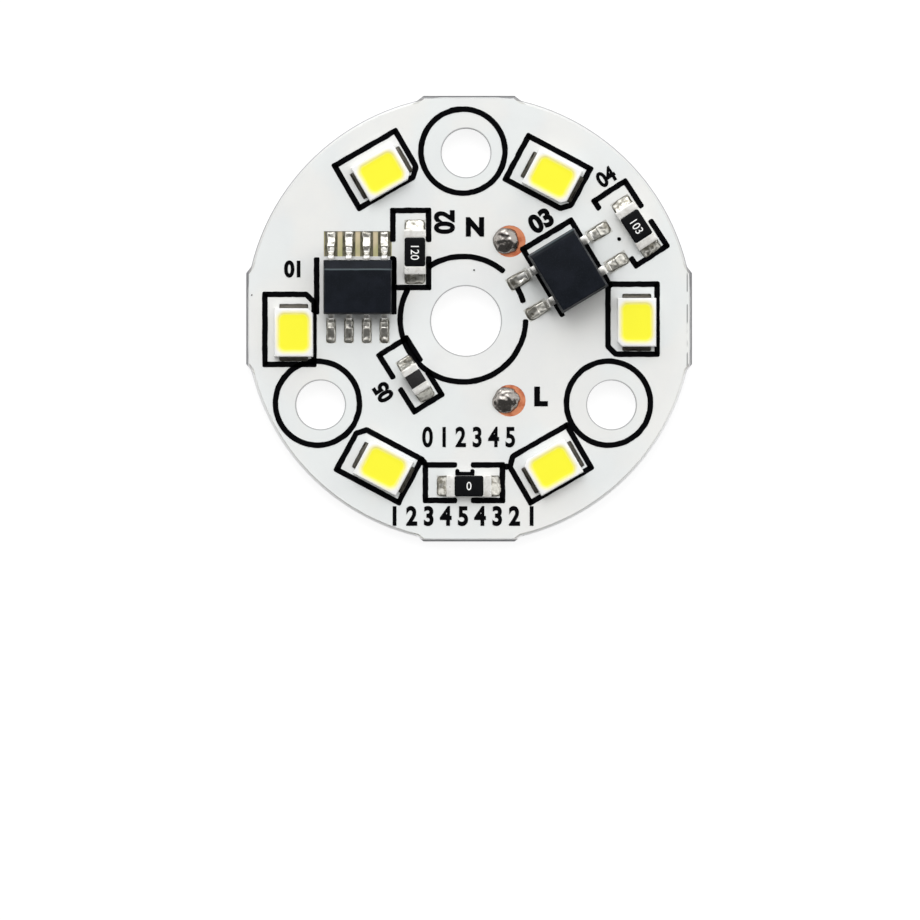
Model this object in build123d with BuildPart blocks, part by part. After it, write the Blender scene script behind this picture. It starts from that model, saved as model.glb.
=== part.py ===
from build123d import *
import os
from math import radians, tan

# Round mains LED board, 32 mm across: an aluminium plate with a printed circuit on one face.
# Millimetres. The origin is the centre hole's axis at the plate's underside, +Z is the lit side,
# and +Y points at one of the three screw holes.

os.makedirs("parts", exist_ok=True)

# Board blank
board_d = 32.0
base_t = 1.0
centre_hole_d = 5.0
screw_hole_d = 3.5
screw_pcd = 24.0
screw_count = 3
screw_start = 90.0

# Scored flats and the stubs of the breakaway tabs
flat_cut = 0.08
tab_count = 4
stub_w = 6.5
stub_root = 1.2
stub_slope = 38.0
score_depth = 0.33
score_run = 0.2
edge_break = 0.08

# Layers on the plate
dielectric_t = 0.08
copper_t = 0.035
mask_cover = 0.025
legend_t = 0.02
solder_t = 0.05

# How far each production step sits from the drilled holes
outline_shift = (0.22, 0.16)
copper_shift = (0.08, -0.11)
print_shift = (-0.22, 0.12)

# Copper layout
pad_overlap = 0.1
copper_edge = 0.6
pour_in = 7.8
pour_side_count = 12
pour_gap = 0.6
screw_land_r = 3.05
screw_land_side_count = 6
terminal_side_count = 8
window_side_count = 24
mains_gap = 1.0
bus_w = 1.1
signal_w = 0.7
return_w = 0.5

# Printed outlines
line_w = 0.4
screw_ring_r = 3.0
screw_ring_side_count = 24
centre_ring_r = 4.48
centre_ring_side_count = 36
centre_ring_gaps = ((-0.7, 15.8), (32.6, 50.6), (124.5, 150.5))

# LED package
led_l = 3.5
led_w = 2.8
led_h = 0.75
led_draft = 4.0
led_corner = 0.4
led_plate_t = 0.15
led_tab_reach = 1.9
led_tab_w = 1.95
led_split = 0.52
led_split_w = 0.42
cup_l = 2.75
cup_w = 2.2
cup_corner = 0.5
cup_slope = 22.0
phosphor_dip = 0.03
die_l = 0.34
die_w = 0.30
die_t = 0.12
die_pitch_x = 0.42
die_pitch_y = 0.55
die_column_count = 3
die_row_count = 2
die_centre = -0.42
led_pad_in = 0.85
led_pad_out = 2.04
led_pad_w = 2.05
led_print_l = 5.0
led_print_w = 3.5
led_print_corner = 0.55

# Driver chip, eight gull-wing leads
driver_l = 4.9
driver_w = 3.9
driver_lift = 0.1
driver_lower = 0.65
driver_upper = 0.75
driver_draft = 8.0
driver_bevel_run = 0.6
driver_bevel_drop = 0.3
driver_pitch = 1.27
driver_lead_count = 4
driver_lead_w = 0.42
driver_lead_t = 0.2
driver_lead_knee = 0.24
driver_lead_slope = 0.24
driver_lead_reach = 3.0
driver_lead_root = 1.45
driver_paddle_l = 2.7
driver_paddle_w = 2.1
driver_die_l = 1.7
driver_die_w = 1.4
driver_die_t = 0.25
driver_pad_in = 2.2
driver_pad_out = 4.0
driver_pad_w = 0.72
driver_window_l = 4.85
driver_bar_x = 2.76
driver_bar_l = 4.1

# Bridge rectifier, four gull-wing leads
bridge_l = 4.85
bridge_w = 3.85
bridge_lift = 0.1
bridge_lower = 1.05
bridge_upper = 1.25
bridge_draft = 7.0
bridge_bevel_run = 0.22
bridge_bevel_drop = 0.4
bridge_pitch = 2.54
bridge_lead_count = 2
bridge_lead_w = 0.62
bridge_lead_t = 0.22
bridge_lead_knee = 0.42
bridge_lead_slope = 0.26
bridge_lead_reach = 3.4
bridge_lead_root = 0.3
bridge_die_l = 1.1
bridge_die_w = 0.95
bridge_die_t = 0.22
bridge_die_inset = 0.12
bridge_clip_w = 0.7
bridge_clip_t = 0.15
bridge_pad_in = 2.45
bridge_pad_out = 4.2
bridge_pad_w = 1.0
bridge_print_l = 5.4
bridge_print_w = 4.0

# Chip resistors
resistor_l = 3.2
resistor_w = 1.55
resistor_core_t = 0.5
resistor_cap_l = 0.52
resistor_cap_t = 0.04
resistor_coat_gap = 0.05
resistor_coat_margin = 0.035
resistor_coat_t = 0.05
resistor_pad_in = 1.0
resistor_pad_out = 2.3
resistor_pad_w = 1.5
resistor_print_l = 5.5
resistor_print_w = 2.6
resistor_print_gap = 1.0

# Chip capacitor
capacitor_l = 2.0
capacitor_w = 1.25
capacitor_t = 0.85
capacitor_cap_l = 0.5
capacitor_cap_t = 0.03
capacitor_corner = 0.05
capacitor_pad_in = 0.55
capacitor_pad_out = 1.75
capacitor_pad_w = 1.25
capacitor_print_l = 4.75
capacitor_print_w = 2.3
capacitor_print_gap = 0.75

# Mains terminals
terminal_r = 1.13
terminal_solder_r = 0.86
terminal_solder_h = 0.42
terminal_solder_shift = (-0.25, 0.04)

# Solder: share of a lead's or end cap's height that it climbs, and how hollow or crowned its slope is
solder_climb = 0.8
hollow = -0.25
crown = 0.22
driver_solder_w = 0.64
driver_solder_corner = 0.3
bridge_solder_w = 0.9
bridge_solder_corner = 0.3
chip_solder_corner = 0.18

# What follows from the sizes above
flat_reach = board_d / 2 - flat_cut
pour_out = board_d / 2 - copper_edge

# Heights of the layers
dielectric_z = base_t
copper_z = dielectric_z + dielectric_t
pad_z = copper_z + copper_t
mask_z = pad_z + mask_cover
seat_z = pad_z + solder_t


def printed(x, y, turn=0.0):
    """Where a component's outline is printed."""
    return Location((x + print_shift[0], y + print_shift[1], 0), (0, 0, turn))


def fitted(x, y, turn=0.0, slip=(0.0, 0.0)):
    """Where a component and its pads lie; slip is how far it drifted from its outline."""
    return Location((x + copper_shift[0] + slip[0], y + copper_shift[1] + slip[1], 0), (0, 0, turn))


# Places: x, y and the turn of the long axis. An LED's turn runs anticlockwise round the ring.
led_places = (
    (12.11, 0.00, 90.0),
    (6.07, 10.37, 152.0),
    (-6.12, 10.69, 210.0),
    (-12.39, -0.73, 270.0),
    (-5.98, -10.37, 332.0),
    (6.12, -10.34, 30.0),
)
driver_place = (-7.69, 2.38, 0.0)
driver_slip = (-0.12, 0.13)
bridge_place = (7.39, 3.71, -59.0)
bridge_slip = (-0.19, -0.04)
sense_place = (-3.73, 5.02, 90.0)
bleed_place = (11.97, 6.84, -57.0)
bleed_slip = (0.11, 0.02)
link_place = (0.07, -11.68, 0.0)
link_slip = (0.06, -0.01)
capacitor_place = (-3.75, -3.98, -58.0)
capacitor_slip = (0.07, -0.07)
neutral_place = (3.04, 5.79)
live_place = (3.04, -5.59)

live_turn = (5.7, -2.9)
signal_turn = (-4.75, -0.2)
return_turns = ((-2.1, 5.5), (-2.1, 3.2), (-3.2, 0.2), (-2.6, -2.3), (-1.9, -5.0))
return_end = (-2.3, -8.6)

led_at = [fitted(*place) for place in led_places]
driver_at = fitted(*driver_place, driver_slip)
bridge_at = fitted(*bridge_place, bridge_slip)
sense_at = fitted(*sense_place)
bleed_at = fitted(*bleed_place, bleed_slip)
link_at = fitted(*link_place, link_slip)
resistors_at = [sense_at, bleed_at, link_at]
capacitor_at = fitted(*capacitor_place, capacitor_slip)
terminals_at = [fitted(*neutral_place), fitted(*live_place)]


def keep(piece, name):
    """Labels a finished piece and writes it under its own name."""
    piece.part.label = name
    export_step(piece.part, f"parts/{name}.step")


def level(at, height):
    """Level work plane in a component's own frame."""
    return Plane(at).offset(height)


def side_on(at):
    """Upright work plane: its first axis is the frame's x axis and its second is up."""
    return Plane(at * Location((0, 0, 0), (90, 0, 0)))


def outward(at, turns, pitch=0.0, count=1):
    """One frame for each lead or end cap, its x axis pointing away from the package."""
    return [
        at * place * Location((0, 0, 0), (0, 0, turn))
        for turn in turns
        for place in GridLocations(pitch, 0, count, 1).locations
    ]


def end_pads(pad_in, pad_out, width, grow=0.0):
    """The two pads of a chip, one under each end."""
    with GridLocations(pad_in + pad_out, 0, 2, 1):
        Rectangle(pad_out - pad_in + 2 * grow, width + 2 * grow)


def lead_pads(pad_in, pad_out, width, pitch, count, grow=0.0):
    """Two rows of pads for a package with leads along its long sides."""
    with GridLocations(pitch, pad_in + pad_out, count, 2):
        Rectangle(width + 2 * grow, pad_out - pad_in + 2 * grow)


def pad_sketch(grow=0.0):
    """Every pad, or with grow its copper land, which runs on under the mask."""
    with BuildSketch() as pads:
        with Locations(*led_at):
            end_pads(led_pad_in, led_pad_out, led_pad_w, grow)
        with Locations(driver_at):
            lead_pads(driver_pad_in, driver_pad_out, driver_pad_w, driver_pitch, driver_lead_count, grow)
        with Locations(bridge_at):
            lead_pads(bridge_pad_in, bridge_pad_out, bridge_pad_w, bridge_pitch, bridge_lead_count, grow)
        with Locations(*resistors_at):
            end_pads(resistor_pad_in, resistor_pad_out, resistor_pad_w, grow)
        with Locations(capacitor_at):
            end_pads(capacitor_pad_in, capacitor_pad_out, capacitor_pad_w, grow)
        side_count = terminal_side_count if grow else window_side_count
        with Locations(*terminals_at):
            RegularPolygon(terminal_r + grow, side_count, major_radius=False)
    return pads.sketch


def window_sketch():
    """Openings in the mask; the driver's upper row shares one window."""
    with BuildSketch() as windows:
        add(pad_sketch())
        with Locations(driver_at):
            with Locations((0, (driver_pad_in + driver_pad_out) / 2)):
                Rectangle(driver_window_l, driver_pad_out - driver_pad_in)
    return windows.sketch


def hole_sketch():
    """The centre hole and the screw holes."""
    with BuildSketch() as holes:
        Circle(centre_hole_d / 2)
        with PolarLocations(screw_pcd / 2, screw_count, screw_start):
            Circle(screw_hole_d / 2)
    return holes.sketch


def outline_sketch(inset=0.0):
    """The round blank with four scored flats and the stubs that its tabs left."""
    foot = stub_w / 2 + stub_root * tan(radians(90.0 - stub_slope))
    with BuildSketch() as outline:
        with Locations(outline_shift):
            Circle(board_d / 2)
            with PolarLocations(0, tab_count):
                Polygon(
                    (flat_reach - stub_root, -foot),
                    (flat_reach, -stub_w / 2),
                    (flat_reach, stub_w / 2),
                    (flat_reach - stub_root, foot),
                    align=None,
                )
            Rectangle(2 * flat_reach, 2 * flat_reach, mode=Mode.INTERSECT)
        if inset:
            offset(amount=-inset)
    return outline.sketch


def spot(at, along, across):
    """A point given in a component's own frame."""
    return (at * Location((along, across, 0))).position


def track(width, *points):
    """A straight-run copper track through the points."""
    with BuildLine() as run:
        Polyline(*points)
    trace(run.line, line_width=width)


def copper_sketch():
    """Heat-spreading ring between the LEDs, cut where the string passes a component, and the tracks."""
    driver_pad = (driver_pad_in + driver_pad_out) / 2
    bridge_pad = (bridge_pad_in + bridge_pad_out) / 2
    resistor_pad = (resistor_pad_in + resistor_pad_out) / 2
    capacitor_pad = (capacitor_pad_in + capacitor_pad_out) / 2
    driver_end = driver_pitch * (driver_lead_count - 1) / 2
    bridge_end = bridge_pitch * (bridge_lead_count - 1) / 2
    with BuildSketch() as copper:
        with Locations(Location((*copper_shift, 0), (0, 0, 180 / pour_side_count))):
            RegularPolygon(pour_out, pour_side_count)
            RegularPolygon(pour_in, pour_side_count, mode=Mode.SUBTRACT)
        with Locations(*led_at):
            with Locations((led_split, 0)):
                Rectangle(pour_gap, pour_out, mode=Mode.SUBTRACT)
        with Locations(bleed_at, link_at):
            Rectangle(2 * (resistor_pad_in - pad_overlap), pour_out, mode=Mode.SUBTRACT)
        with Locations(driver_at):
            Rectangle(
                driver_window_l + 2 * pour_gap,
                2 * (driver_pad_out + pour_gap),
                mode=Mode.SUBTRACT,
            )
            with Locations((-pour_out / 2, 0)):
                Rectangle(pour_out, pour_gap, mode=Mode.SUBTRACT)
        with Locations(sense_at):
            Rectangle(
                2 * (resistor_pad_out + pour_gap),
                resistor_pad_w + 2 * pour_gap,
                mode=Mode.SUBTRACT,
            )
        clear_r = terminal_r + mains_gap
        with Locations(*terminals_at):
            RegularPolygon(clear_r, terminal_side_count, major_radius=False, mode=Mode.SUBTRACT)
        with PolarLocations(screw_pcd / 2, screw_count, screw_start):
            RegularPolygon(screw_land_r, screw_land_side_count, major_radius=False, mode=Mode.SUBTRACT)
        add(pad_sketch(pad_overlap))
        with Locations(driver_at):
            with Locations((0, driver_pad_out + bus_w / 2)):
                Rectangle(driver_window_l, bus_w)
        track(bus_w, terminals_at[0].position, spot(bridge_at, -bridge_end, -bridge_pad))
        track(bus_w, terminals_at[1].position, live_turn, spot(bridge_at, bridge_end, -bridge_pad))
        track(bus_w, spot(bridge_at, -bridge_end, bridge_pad), spot(bleed_at, -resistor_pad, 0))
        track(bus_w, spot(bridge_at, bridge_end, bridge_pad), spot(bleed_at, resistor_pad, 0))
        track(signal_w, spot(driver_at, -driver_end, -driver_pad), spot(led_at[3], -led_pad_out, 0))
        sense_end = spot(sense_at, -resistor_pad, 0)
        track(signal_w, spot(driver_at, driver_end, -driver_pad), signal_turn, sense_end)
        track(signal_w, signal_turn, spot(capacitor_at, -capacitor_pad, 0))
        track(signal_w, spot(capacitor_at, capacitor_pad, 0), return_end)
        track(return_w, spot(sense_at, resistor_pad, 0), *return_turns, return_end)
    return copper.sketch


def frame_sketch(length, width, corner=0.0, gap=0.0):
    """A printed frame, with one corner cut off or a gap in both long sides."""
    end, side = length / 2, width / 2
    points = [(-end, -side), (end, -side), (end, side), (corner - end, side)]
    if corner:
        points.append((-end, side - corner))
    with BuildSketch() as frame:
        with BuildLine():
            Polyline(*points, close=True)
        trace(line_width=line_w)
        if gap:
            Rectangle(gap, width + 2 * line_w, mode=Mode.SUBTRACT)
    return frame.sketch


def printed_ring(radius, side_count):
    """A printed ring, its line centred on the radius."""
    RegularPolygon(radius + line_w / 2, side_count)
    RegularPolygon(radius - line_w / 2, side_count, mode=Mode.SUBTRACT)


def legend_sketch():
    """The black print: rings round the holes and a frame round each component."""
    with BuildSketch() as legend:
        with Locations(print_shift):
            printed_ring(centre_ring_r, centre_ring_side_count)
            for gap in centre_ring_gaps:
                rays = [Vector(centre_ring_r + 2 * line_w, 0).rotate(Axis.Z, angle) for angle in gap]
                Polygon((0, 0), *rays, align=None, mode=Mode.SUBTRACT)
            with PolarLocations(screw_pcd / 2, screw_count, screw_start):
                printed_ring(screw_ring_r, screw_ring_side_count)
        with Locations(*[printed(*place) for place in led_places]):
            add(frame_sketch(led_print_l, led_print_w, corner=led_print_corner))
        with Locations(*[printed(*place) for place in (sense_place, bleed_place, link_place)]):
            add(frame_sketch(resistor_print_l, resistor_print_w, gap=resistor_print_gap))
        with Locations(printed(*capacitor_place)):
            add(frame_sketch(capacitor_print_l, capacitor_print_w, gap=capacitor_print_gap))
        with Locations(printed(*bridge_place)):
            add(frame_sketch(bridge_print_l, bridge_print_w))
        with Locations(printed(*driver_place)):
            with GridLocations(2 * driver_bar_x, 0, 2, 1):
                Rectangle(line_w, driver_bar_l)
        add(window_sketch(), mode=Mode.SUBTRACT)
        add(hole_sketch(), mode=Mode.SUBTRACT)
    return legend.sketch


# Plate: V-shaped scores bevel the flats above and below, and a light break runs round the rim
with BuildPart() as base_plate:
    with BuildSketch():
        add(outline_sketch())
        add(hole_sketch(), mode=Mode.SUBTRACT)
    extrude(amount=base_t)
    rim = base_plate.faces().sort_by(Axis.Z)[-1].outer_wire().edges()
    chamfer(rim.filter_by(GeomType.CIRCLE), length=edge_break, length2=score_run)
    for height, depth in ((0, score_depth), (base_t, -score_depth)):
        for turn in range(tab_count):
            centre = Location((*outline_shift, 0), (0, 0, turn * 360 / tab_count))
            with BuildSketch(side_on(centre)):
                Polygon(
                    (flat_reach, height),
                    (flat_reach - score_run, height),
                    (flat_reach, height + depth),
                    align=None,
                )
            extrude(amount=board_d / 2, both=True, mode=Mode.SUBTRACT)
keep(base_plate, "base_plate")

with BuildPart() as dielectric_layer:
    with BuildSketch(Plane.XY.offset(dielectric_z)):
        add(outline_sketch(score_run))
        add(hole_sketch(), mode=Mode.SUBTRACT)
    extrude(amount=dielectric_t)
keep(dielectric_layer, "dielectric_layer")

with BuildPart() as copper_tracks:
    with BuildSketch(Plane.XY.offset(copper_z)):
        add(copper_sketch())
    extrude(amount=copper_t)
keep(copper_tracks, "copper_tracks")

with BuildPart() as solder_mask:
    with BuildSketch(Plane.XY.offset(copper_z)):
        add(outline_sketch(score_run))
        add(hole_sketch(), mode=Mode.SUBTRACT)
        add(window_sketch(), mode=Mode.SUBTRACT)
    extrude(amount=mask_z - copper_z)
    add(copper_tracks.part, mode=Mode.SUBTRACT)
keep(solder_mask, "solder_mask")

with BuildPart() as legend_print:
    with BuildSketch(Plane.XY.offset(mask_z)):
        add(legend_sketch())
    extrude(amount=legend_t)
keep(legend_print, "legend_print")


def led_plates(at):
    """The two lead plates: the long one carries the dice, and both end in a tab past the body."""
    split_in = led_split - led_split_w / 2
    split_out = led_split + led_split_w / 2
    with BuildPart() as plates:
        with BuildSketch(level(at, seat_z)):
            with Locations(((split_in - led_tab_reach) / 2, 0)):
                Rectangle(led_tab_reach + split_in, led_tab_w)
            with Locations(((split_out + led_tab_reach) / 2, 0)):
                Rectangle(led_tab_reach - split_out, led_tab_w)
        extrude(amount=led_plate_t)
    return plates


def led_dice(at):
    """The rows of blue dice on the long plate."""
    with BuildPart() as dice:
        with BuildSketch(level(at, seat_z + led_plate_t)):
            with Locations((die_centre, 0)):
                with GridLocations(die_pitch_x, die_pitch_y, die_column_count, die_row_count):
                    Rectangle(die_l, die_w)
        extrude(amount=die_t)
    return dice


def led_cup(at):
    """The tapered cup down to the plates; its corners are cut twice, which is nearly round in few faces."""
    half_turn, quarter_turn = tan(radians(90 / 4)), tan(radians(90 / 8))
    with BuildPart() as cup:
        with BuildSketch(level(at, seat_z + led_h)) as mouth:
            Rectangle(cup_l, cup_w)
            chamfer(mouth.vertices(), length=cup_corner * (1 - half_turn))
            chamfer(mouth.vertices(), length=cup_corner * (half_turn - quarter_turn))
        extrude(amount=led_plate_t - led_h, taper=cup_slope)
    return cup


# LEDs: a white cup moulded on two lead plates, dice on the long plate, phosphor gel over them
for number, at in enumerate(led_at, start=1):
    led_leads = led_plates(at)
    keep(led_leads, f"led_{number}_leads")

    with BuildPart() as led_housing:
        with BuildSketch(level(at, seat_z)) as led_base:
            Rectangle(led_l, led_w)
            chamfer(led_base.vertices().group_by(Axis.X)[0].sort_by(Axis.Y)[-1], length=led_corner)
        extrude(amount=led_h, taper=led_draft)
        add(led_leads.part, mode=Mode.SUBTRACT)
        add(led_cup(at).part, mode=Mode.SUBTRACT)
    keep(led_housing, f"led_{number}_housing")

    led_dies = led_dice(at)
    keep(led_dies, f"led_{number}_dies")

    with BuildPart() as led_phosphor:
        add(led_cup(at).part)
        split(bisect_by=level(at, seat_z + led_h - phosphor_dip), keep=Keep.BOTTOM)
        add(led_dies.part, mode=Mode.SUBTRACT)
    keep(led_phosphor, f"led_{number}_phosphor")


def moulded_body(at, length, width, parting_z, lower, upper, draft):
    """A moulded body whose two halves taper away from the parting line."""
    with BuildPart() as body:
        for amount in (upper, -lower):
            with BuildSketch(level(at, parting_z)):
                Rectangle(length, width)
            extrude(amount=amount, taper=draft)
    return body


def gull_wings(frames, exit_z, thickness, width, root, knee, foot, reach):
    """Leads bent like a gull's wing, from inside the body out, down and along the pad."""
    rest_z = seat_z + thickness / 2
    with BuildPart() as wings:
        for frame in frames:
            with BuildSketch(side_on(frame)):
                bends = ((root, exit_z), (knee, exit_z), (foot, rest_z), (reach, rest_z))
                with BuildLine() as bend:
                    FilletPolyline(*bends, radius=thickness)
                trace(bend.line, line_width=thickness)
            extrude(amount=width / 2, both=True)
    return wings


def solder_joints(frames, pad_in, pad_out, width, tip, climb, bulge, corner=0.0):
    """Solder from pad to metal: a thin bed under it and a fillet up its end."""
    belly = ((tip + pad_out) / 2, (climb + pad_z) / 2 + bulge * (climb - pad_z))
    bed = ((pad_out, pad_z), (pad_in, pad_z), (pad_in, seat_z), (tip, seat_z))
    with BuildPart() as joints:
        for frame in frames:
            with BuildSketch(side_on(frame)):
                Polygon(*bed, (tip, climb), belly, align=None)
            extrude(amount=width / 2, both=True)
        if corner:
            with BuildSketch(Plane.XY.offset(pad_z)) as plan:
                for frame in frames:
                    with Locations(frame * Location(((pad_in + pad_out) / 2, 0, 0))):
                        Rectangle(pad_out - pad_in, width)
                chamfer(plan.vertices(), length=corner)
            extrude(amount=climb - pad_z, mode=Mode.INTERSECT)
    return joints


# Driver: moulded body with a bevel along the first pins' side, paddle and die inside
both_sides = (90, -90)
driver_exit_z = seat_z + driver_lift + driver_lower
driver_frames = outward(driver_at, both_sides, driver_pitch, driver_lead_count)
driver_knee = driver_w / 2 + driver_lead_knee
driver_leads = gull_wings(
    driver_frames,
    driver_exit_z,
    driver_lead_t,
    driver_lead_w,
    driver_lead_root,
    driver_knee,
    driver_knee + driver_lead_slope,
    driver_lead_reach,
)
keep(driver_leads, "driver_leads")

with BuildPart() as driver_paddle:
    with BuildSketch(level(driver_at, driver_exit_z - driver_lead_t / 2)):
        Rectangle(driver_paddle_l, driver_paddle_w)
    extrude(amount=driver_lead_t)
keep(driver_paddle, "driver_paddle")

with BuildPart() as driver_die:
    with BuildSketch(level(driver_at, driver_exit_z + driver_lead_t / 2)):
        Rectangle(driver_die_l, driver_die_w)
    extrude(amount=driver_die_t)
keep(driver_die, "driver_die")

with BuildPart() as driver_body:
    driver_sizes = (driver_l, driver_w, driver_exit_z, driver_lower, driver_upper, driver_draft)
    add(moulded_body(driver_at, *driver_sizes).part)
    driver_top = driver_body.faces().sort_by(Axis.Z)[-1]
    driver_edge = driver_top.edges().sort_by(Axis.Y)[-1]
    chamfer(driver_edge, length=driver_bevel_run, length2=driver_bevel_drop, reference=driver_top)
    add([driver_leads.part, driver_paddle.part, driver_die.part], mode=Mode.SUBTRACT)
keep(driver_body, "driver_body")

# Bridge rectifier: each lead ends in a plate that carries a die, and clips join the dice in pairs
bridge_exit_z = seat_z + bridge_lift + bridge_lower
bridge_die_z = bridge_exit_z + bridge_lead_t / 2
bridge_clip_z = bridge_die_z + bridge_die_t
bridge_frames = outward(bridge_at, both_sides, bridge_pitch, bridge_lead_count)
bridge_knee = bridge_w / 2 + bridge_lead_knee
bridge_plate_l = bridge_die_l + 2 * bridge_die_inset
bridge_plate_w = bridge_die_w + 2 * bridge_die_inset
bridge_plate_y = bridge_lead_root + bridge_plate_w / 2
with BuildPart() as bridge_leads:
    add(
        gull_wings(
            bridge_frames,
            bridge_exit_z,
            bridge_lead_t,
            bridge_lead_w,
            bridge_lead_root,
            bridge_knee,
            bridge_knee + bridge_lead_slope,
            bridge_lead_reach,
        ).part
    )
    with BuildSketch(level(bridge_at, bridge_exit_z - bridge_lead_t / 2)):
        with GridLocations(bridge_pitch, 2 * bridge_plate_y, bridge_lead_count, 2):
            Rectangle(bridge_plate_l, bridge_plate_w)
    extrude(amount=bridge_lead_t)
keep(bridge_leads, "bridge_leads")

with BuildPart() as bridge_dies:
    with BuildSketch(level(bridge_at, bridge_die_z)):
        with GridLocations(bridge_pitch, 2 * bridge_plate_y, bridge_lead_count, 2):
            Rectangle(bridge_die_l, bridge_die_w)
    extrude(amount=bridge_die_t)
keep(bridge_dies, "bridge_dies")

with BuildPart() as bridge_clips:
    with BuildSketch(level(bridge_at, bridge_clip_z)):
        with GridLocations(bridge_pitch, 0, bridge_lead_count, 1):
            Rectangle(bridge_clip_w, 2 * bridge_plate_y + bridge_die_w - 2 * bridge_die_inset)
    extrude(amount=bridge_clip_t)
keep(bridge_clips, "bridge_clips")

with BuildPart() as bridge_body:
    bridge_sizes = (bridge_l, bridge_w, bridge_exit_z, bridge_lower, bridge_upper, bridge_draft)
    add(moulded_body(bridge_at, *bridge_sizes).part)
    bridge_top = bridge_body.faces().sort_by(Axis.Z)[-1]
    bridge_edge = bridge_top.edges().sort_by(Axis((0, 0, 0), Plane(bridge_at).x_dir))[0]
    chamfer(bridge_edge, length=bridge_bevel_run, length2=bridge_bevel_drop, reference=bridge_top)
    add([bridge_leads.part, bridge_dies.part, bridge_clips.part], mode=Mode.SUBTRACT)
keep(bridge_body, "bridge_body")


def box_at(at, height, length, width, thickness, mode=Mode.ADD):
    """A plain block on a level plane, for the chips' layers."""
    with BuildSketch(level(at, height)) as base:
        Rectangle(length, width)
    extrude(base.sketch, amount=thickness, mode=mode)


# Chip resistors: ceramic core, end caps that wrap its ends, resistive layer under a black coat
resistor_h = resistor_core_t + 2 * resistor_cap_t
resistor_coat_l = resistor_l - 2 * (resistor_cap_l + resistor_coat_gap)
resistor_coat_w = resistor_w - 2 * resistor_coat_margin
for name, at in (("sense_resistor", sense_at), ("bleed_resistor", bleed_at), ("link_resistor", link_at)):
    core_z = seat_z + resistor_cap_t
    with BuildPart() as resistor_core:
        box_at(at, core_z, resistor_l - 2 * resistor_cap_t, resistor_w, resistor_core_t)
    keep(resistor_core, f"{name}_core")

    with BuildPart() as resistor_caps:
        box_at(at, seat_z, resistor_l, resistor_w, resistor_h)
        box_at(at, seat_z, resistor_l - 2 * resistor_cap_l, resistor_w, resistor_h, Mode.SUBTRACT)
        add(resistor_core.part, mode=Mode.SUBTRACT)
    keep(resistor_caps, f"{name}_caps")

    with BuildPart() as resistor_coat:
        box_at(at, core_z + resistor_core_t, resistor_coat_l, resistor_coat_w, resistor_coat_t)
    keep(resistor_coat, f"{name}_coat")

# Chip capacitor: layered block with five-sided end caps
capacitor_core_z = seat_z + capacitor_cap_t
with BuildPart() as capacitor_core:
    box_at(
        capacitor_at,
        capacitor_core_z,
        capacitor_l - 2 * capacitor_cap_t,
        capacitor_w - 2 * capacitor_cap_t,
        capacitor_t - 2 * capacitor_cap_t,
    )
keep(capacitor_core, "capacitor_core")

with BuildPart() as capacitor_caps:
    box_at(capacitor_at, seat_z, capacitor_l, capacitor_w, capacitor_t)
    chamfer(capacitor_caps.edges(), length=capacitor_corner)
    box_at(capacitor_at, seat_z, capacitor_l - 2 * capacitor_cap_l, capacitor_w, capacitor_t, Mode.SUBTRACT)
    add(capacitor_core.part, mode=Mode.SUBTRACT)
keep(capacitor_caps, "capacitor_caps")

# Solder
both_ends = (0, 180)
with BuildPart() as led_solder:
    for at in led_at:
        add(
            solder_joints(
                outward(at, both_ends),
                led_pad_in,
                led_pad_out,
                led_tab_w,
                led_tab_reach,
                seat_z + solder_climb * led_plate_t,
                hollow,
            ).part
        )
keep(led_solder, "led_solder")

driver_solder = solder_joints(
    driver_frames,
    driver_pad_in,
    driver_pad_out,
    driver_solder_w,
    driver_lead_reach,
    seat_z + solder_climb * driver_lead_t,
    crown,
    driver_solder_corner,
)
keep(driver_solder, "driver_solder")

bridge_solder = solder_joints(
    bridge_frames,
    bridge_pad_in,
    bridge_pad_out,
    bridge_solder_w,
    bridge_lead_reach,
    seat_z + solder_climb * bridge_lead_t,
    crown,
    bridge_solder_corner,
)
keep(bridge_solder, "bridge_solder")

with BuildPart() as resistor_solder:
    for at in resistors_at:
        add(
            solder_joints(
                outward(at, both_ends),
                resistor_pad_in,
                resistor_pad_out,
                resistor_pad_w,
                resistor_l / 2,
                seat_z + solder_climb * resistor_core_t,
                hollow,
                chip_solder_corner,
            ).part
        )
keep(resistor_solder, "resistor_solder")

capacitor_solder = solder_joints(
    outward(capacitor_at, both_ends),
    capacitor_pad_in,
    capacitor_pad_out,
    capacitor_pad_w,
    capacitor_l / 2,
    seat_z + solder_climb * capacitor_t / 2,
    hollow,
    chip_solder_corner,
)
keep(capacitor_solder, "capacitor_solder")

for name, at in zip(("neutral_solder", "live_solder"), terminals_at):
    dome_at = at * Location((*terminal_solder_shift, pad_z))
    with BuildPart() as dome:
        with BuildSketch(side_on(dome_at)):
            with BuildLine():
                crest = Polyline((terminal_solder_r, 0), (0, 0), (0, terminal_solder_h))
                TangentArc(crest @ 1, crest @ 0, tangent=(1, 0))
            make_face()
        revolve(axis=Axis(dome_at.position, (0, 0, 1)))
    keep(dome, name)
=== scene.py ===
"""Looks for a round mains LED board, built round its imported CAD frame."""

import logging
import math
from dataclasses import dataclass
from enum import Enum
from typing import Callable, Sequence

import bpy
from mathutils import Matrix, Vector


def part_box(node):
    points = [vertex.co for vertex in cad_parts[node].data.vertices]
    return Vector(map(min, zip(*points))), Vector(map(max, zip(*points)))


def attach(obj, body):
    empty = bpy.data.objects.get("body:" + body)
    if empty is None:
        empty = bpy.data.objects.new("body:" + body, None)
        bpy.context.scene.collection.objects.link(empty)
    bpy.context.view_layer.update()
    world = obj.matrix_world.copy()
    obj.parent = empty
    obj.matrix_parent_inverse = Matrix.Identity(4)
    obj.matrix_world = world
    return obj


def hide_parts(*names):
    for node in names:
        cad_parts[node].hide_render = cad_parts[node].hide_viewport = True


MM = 0.001
BODY = "root"
LOG = logging.getLogger("led_board")

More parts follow.
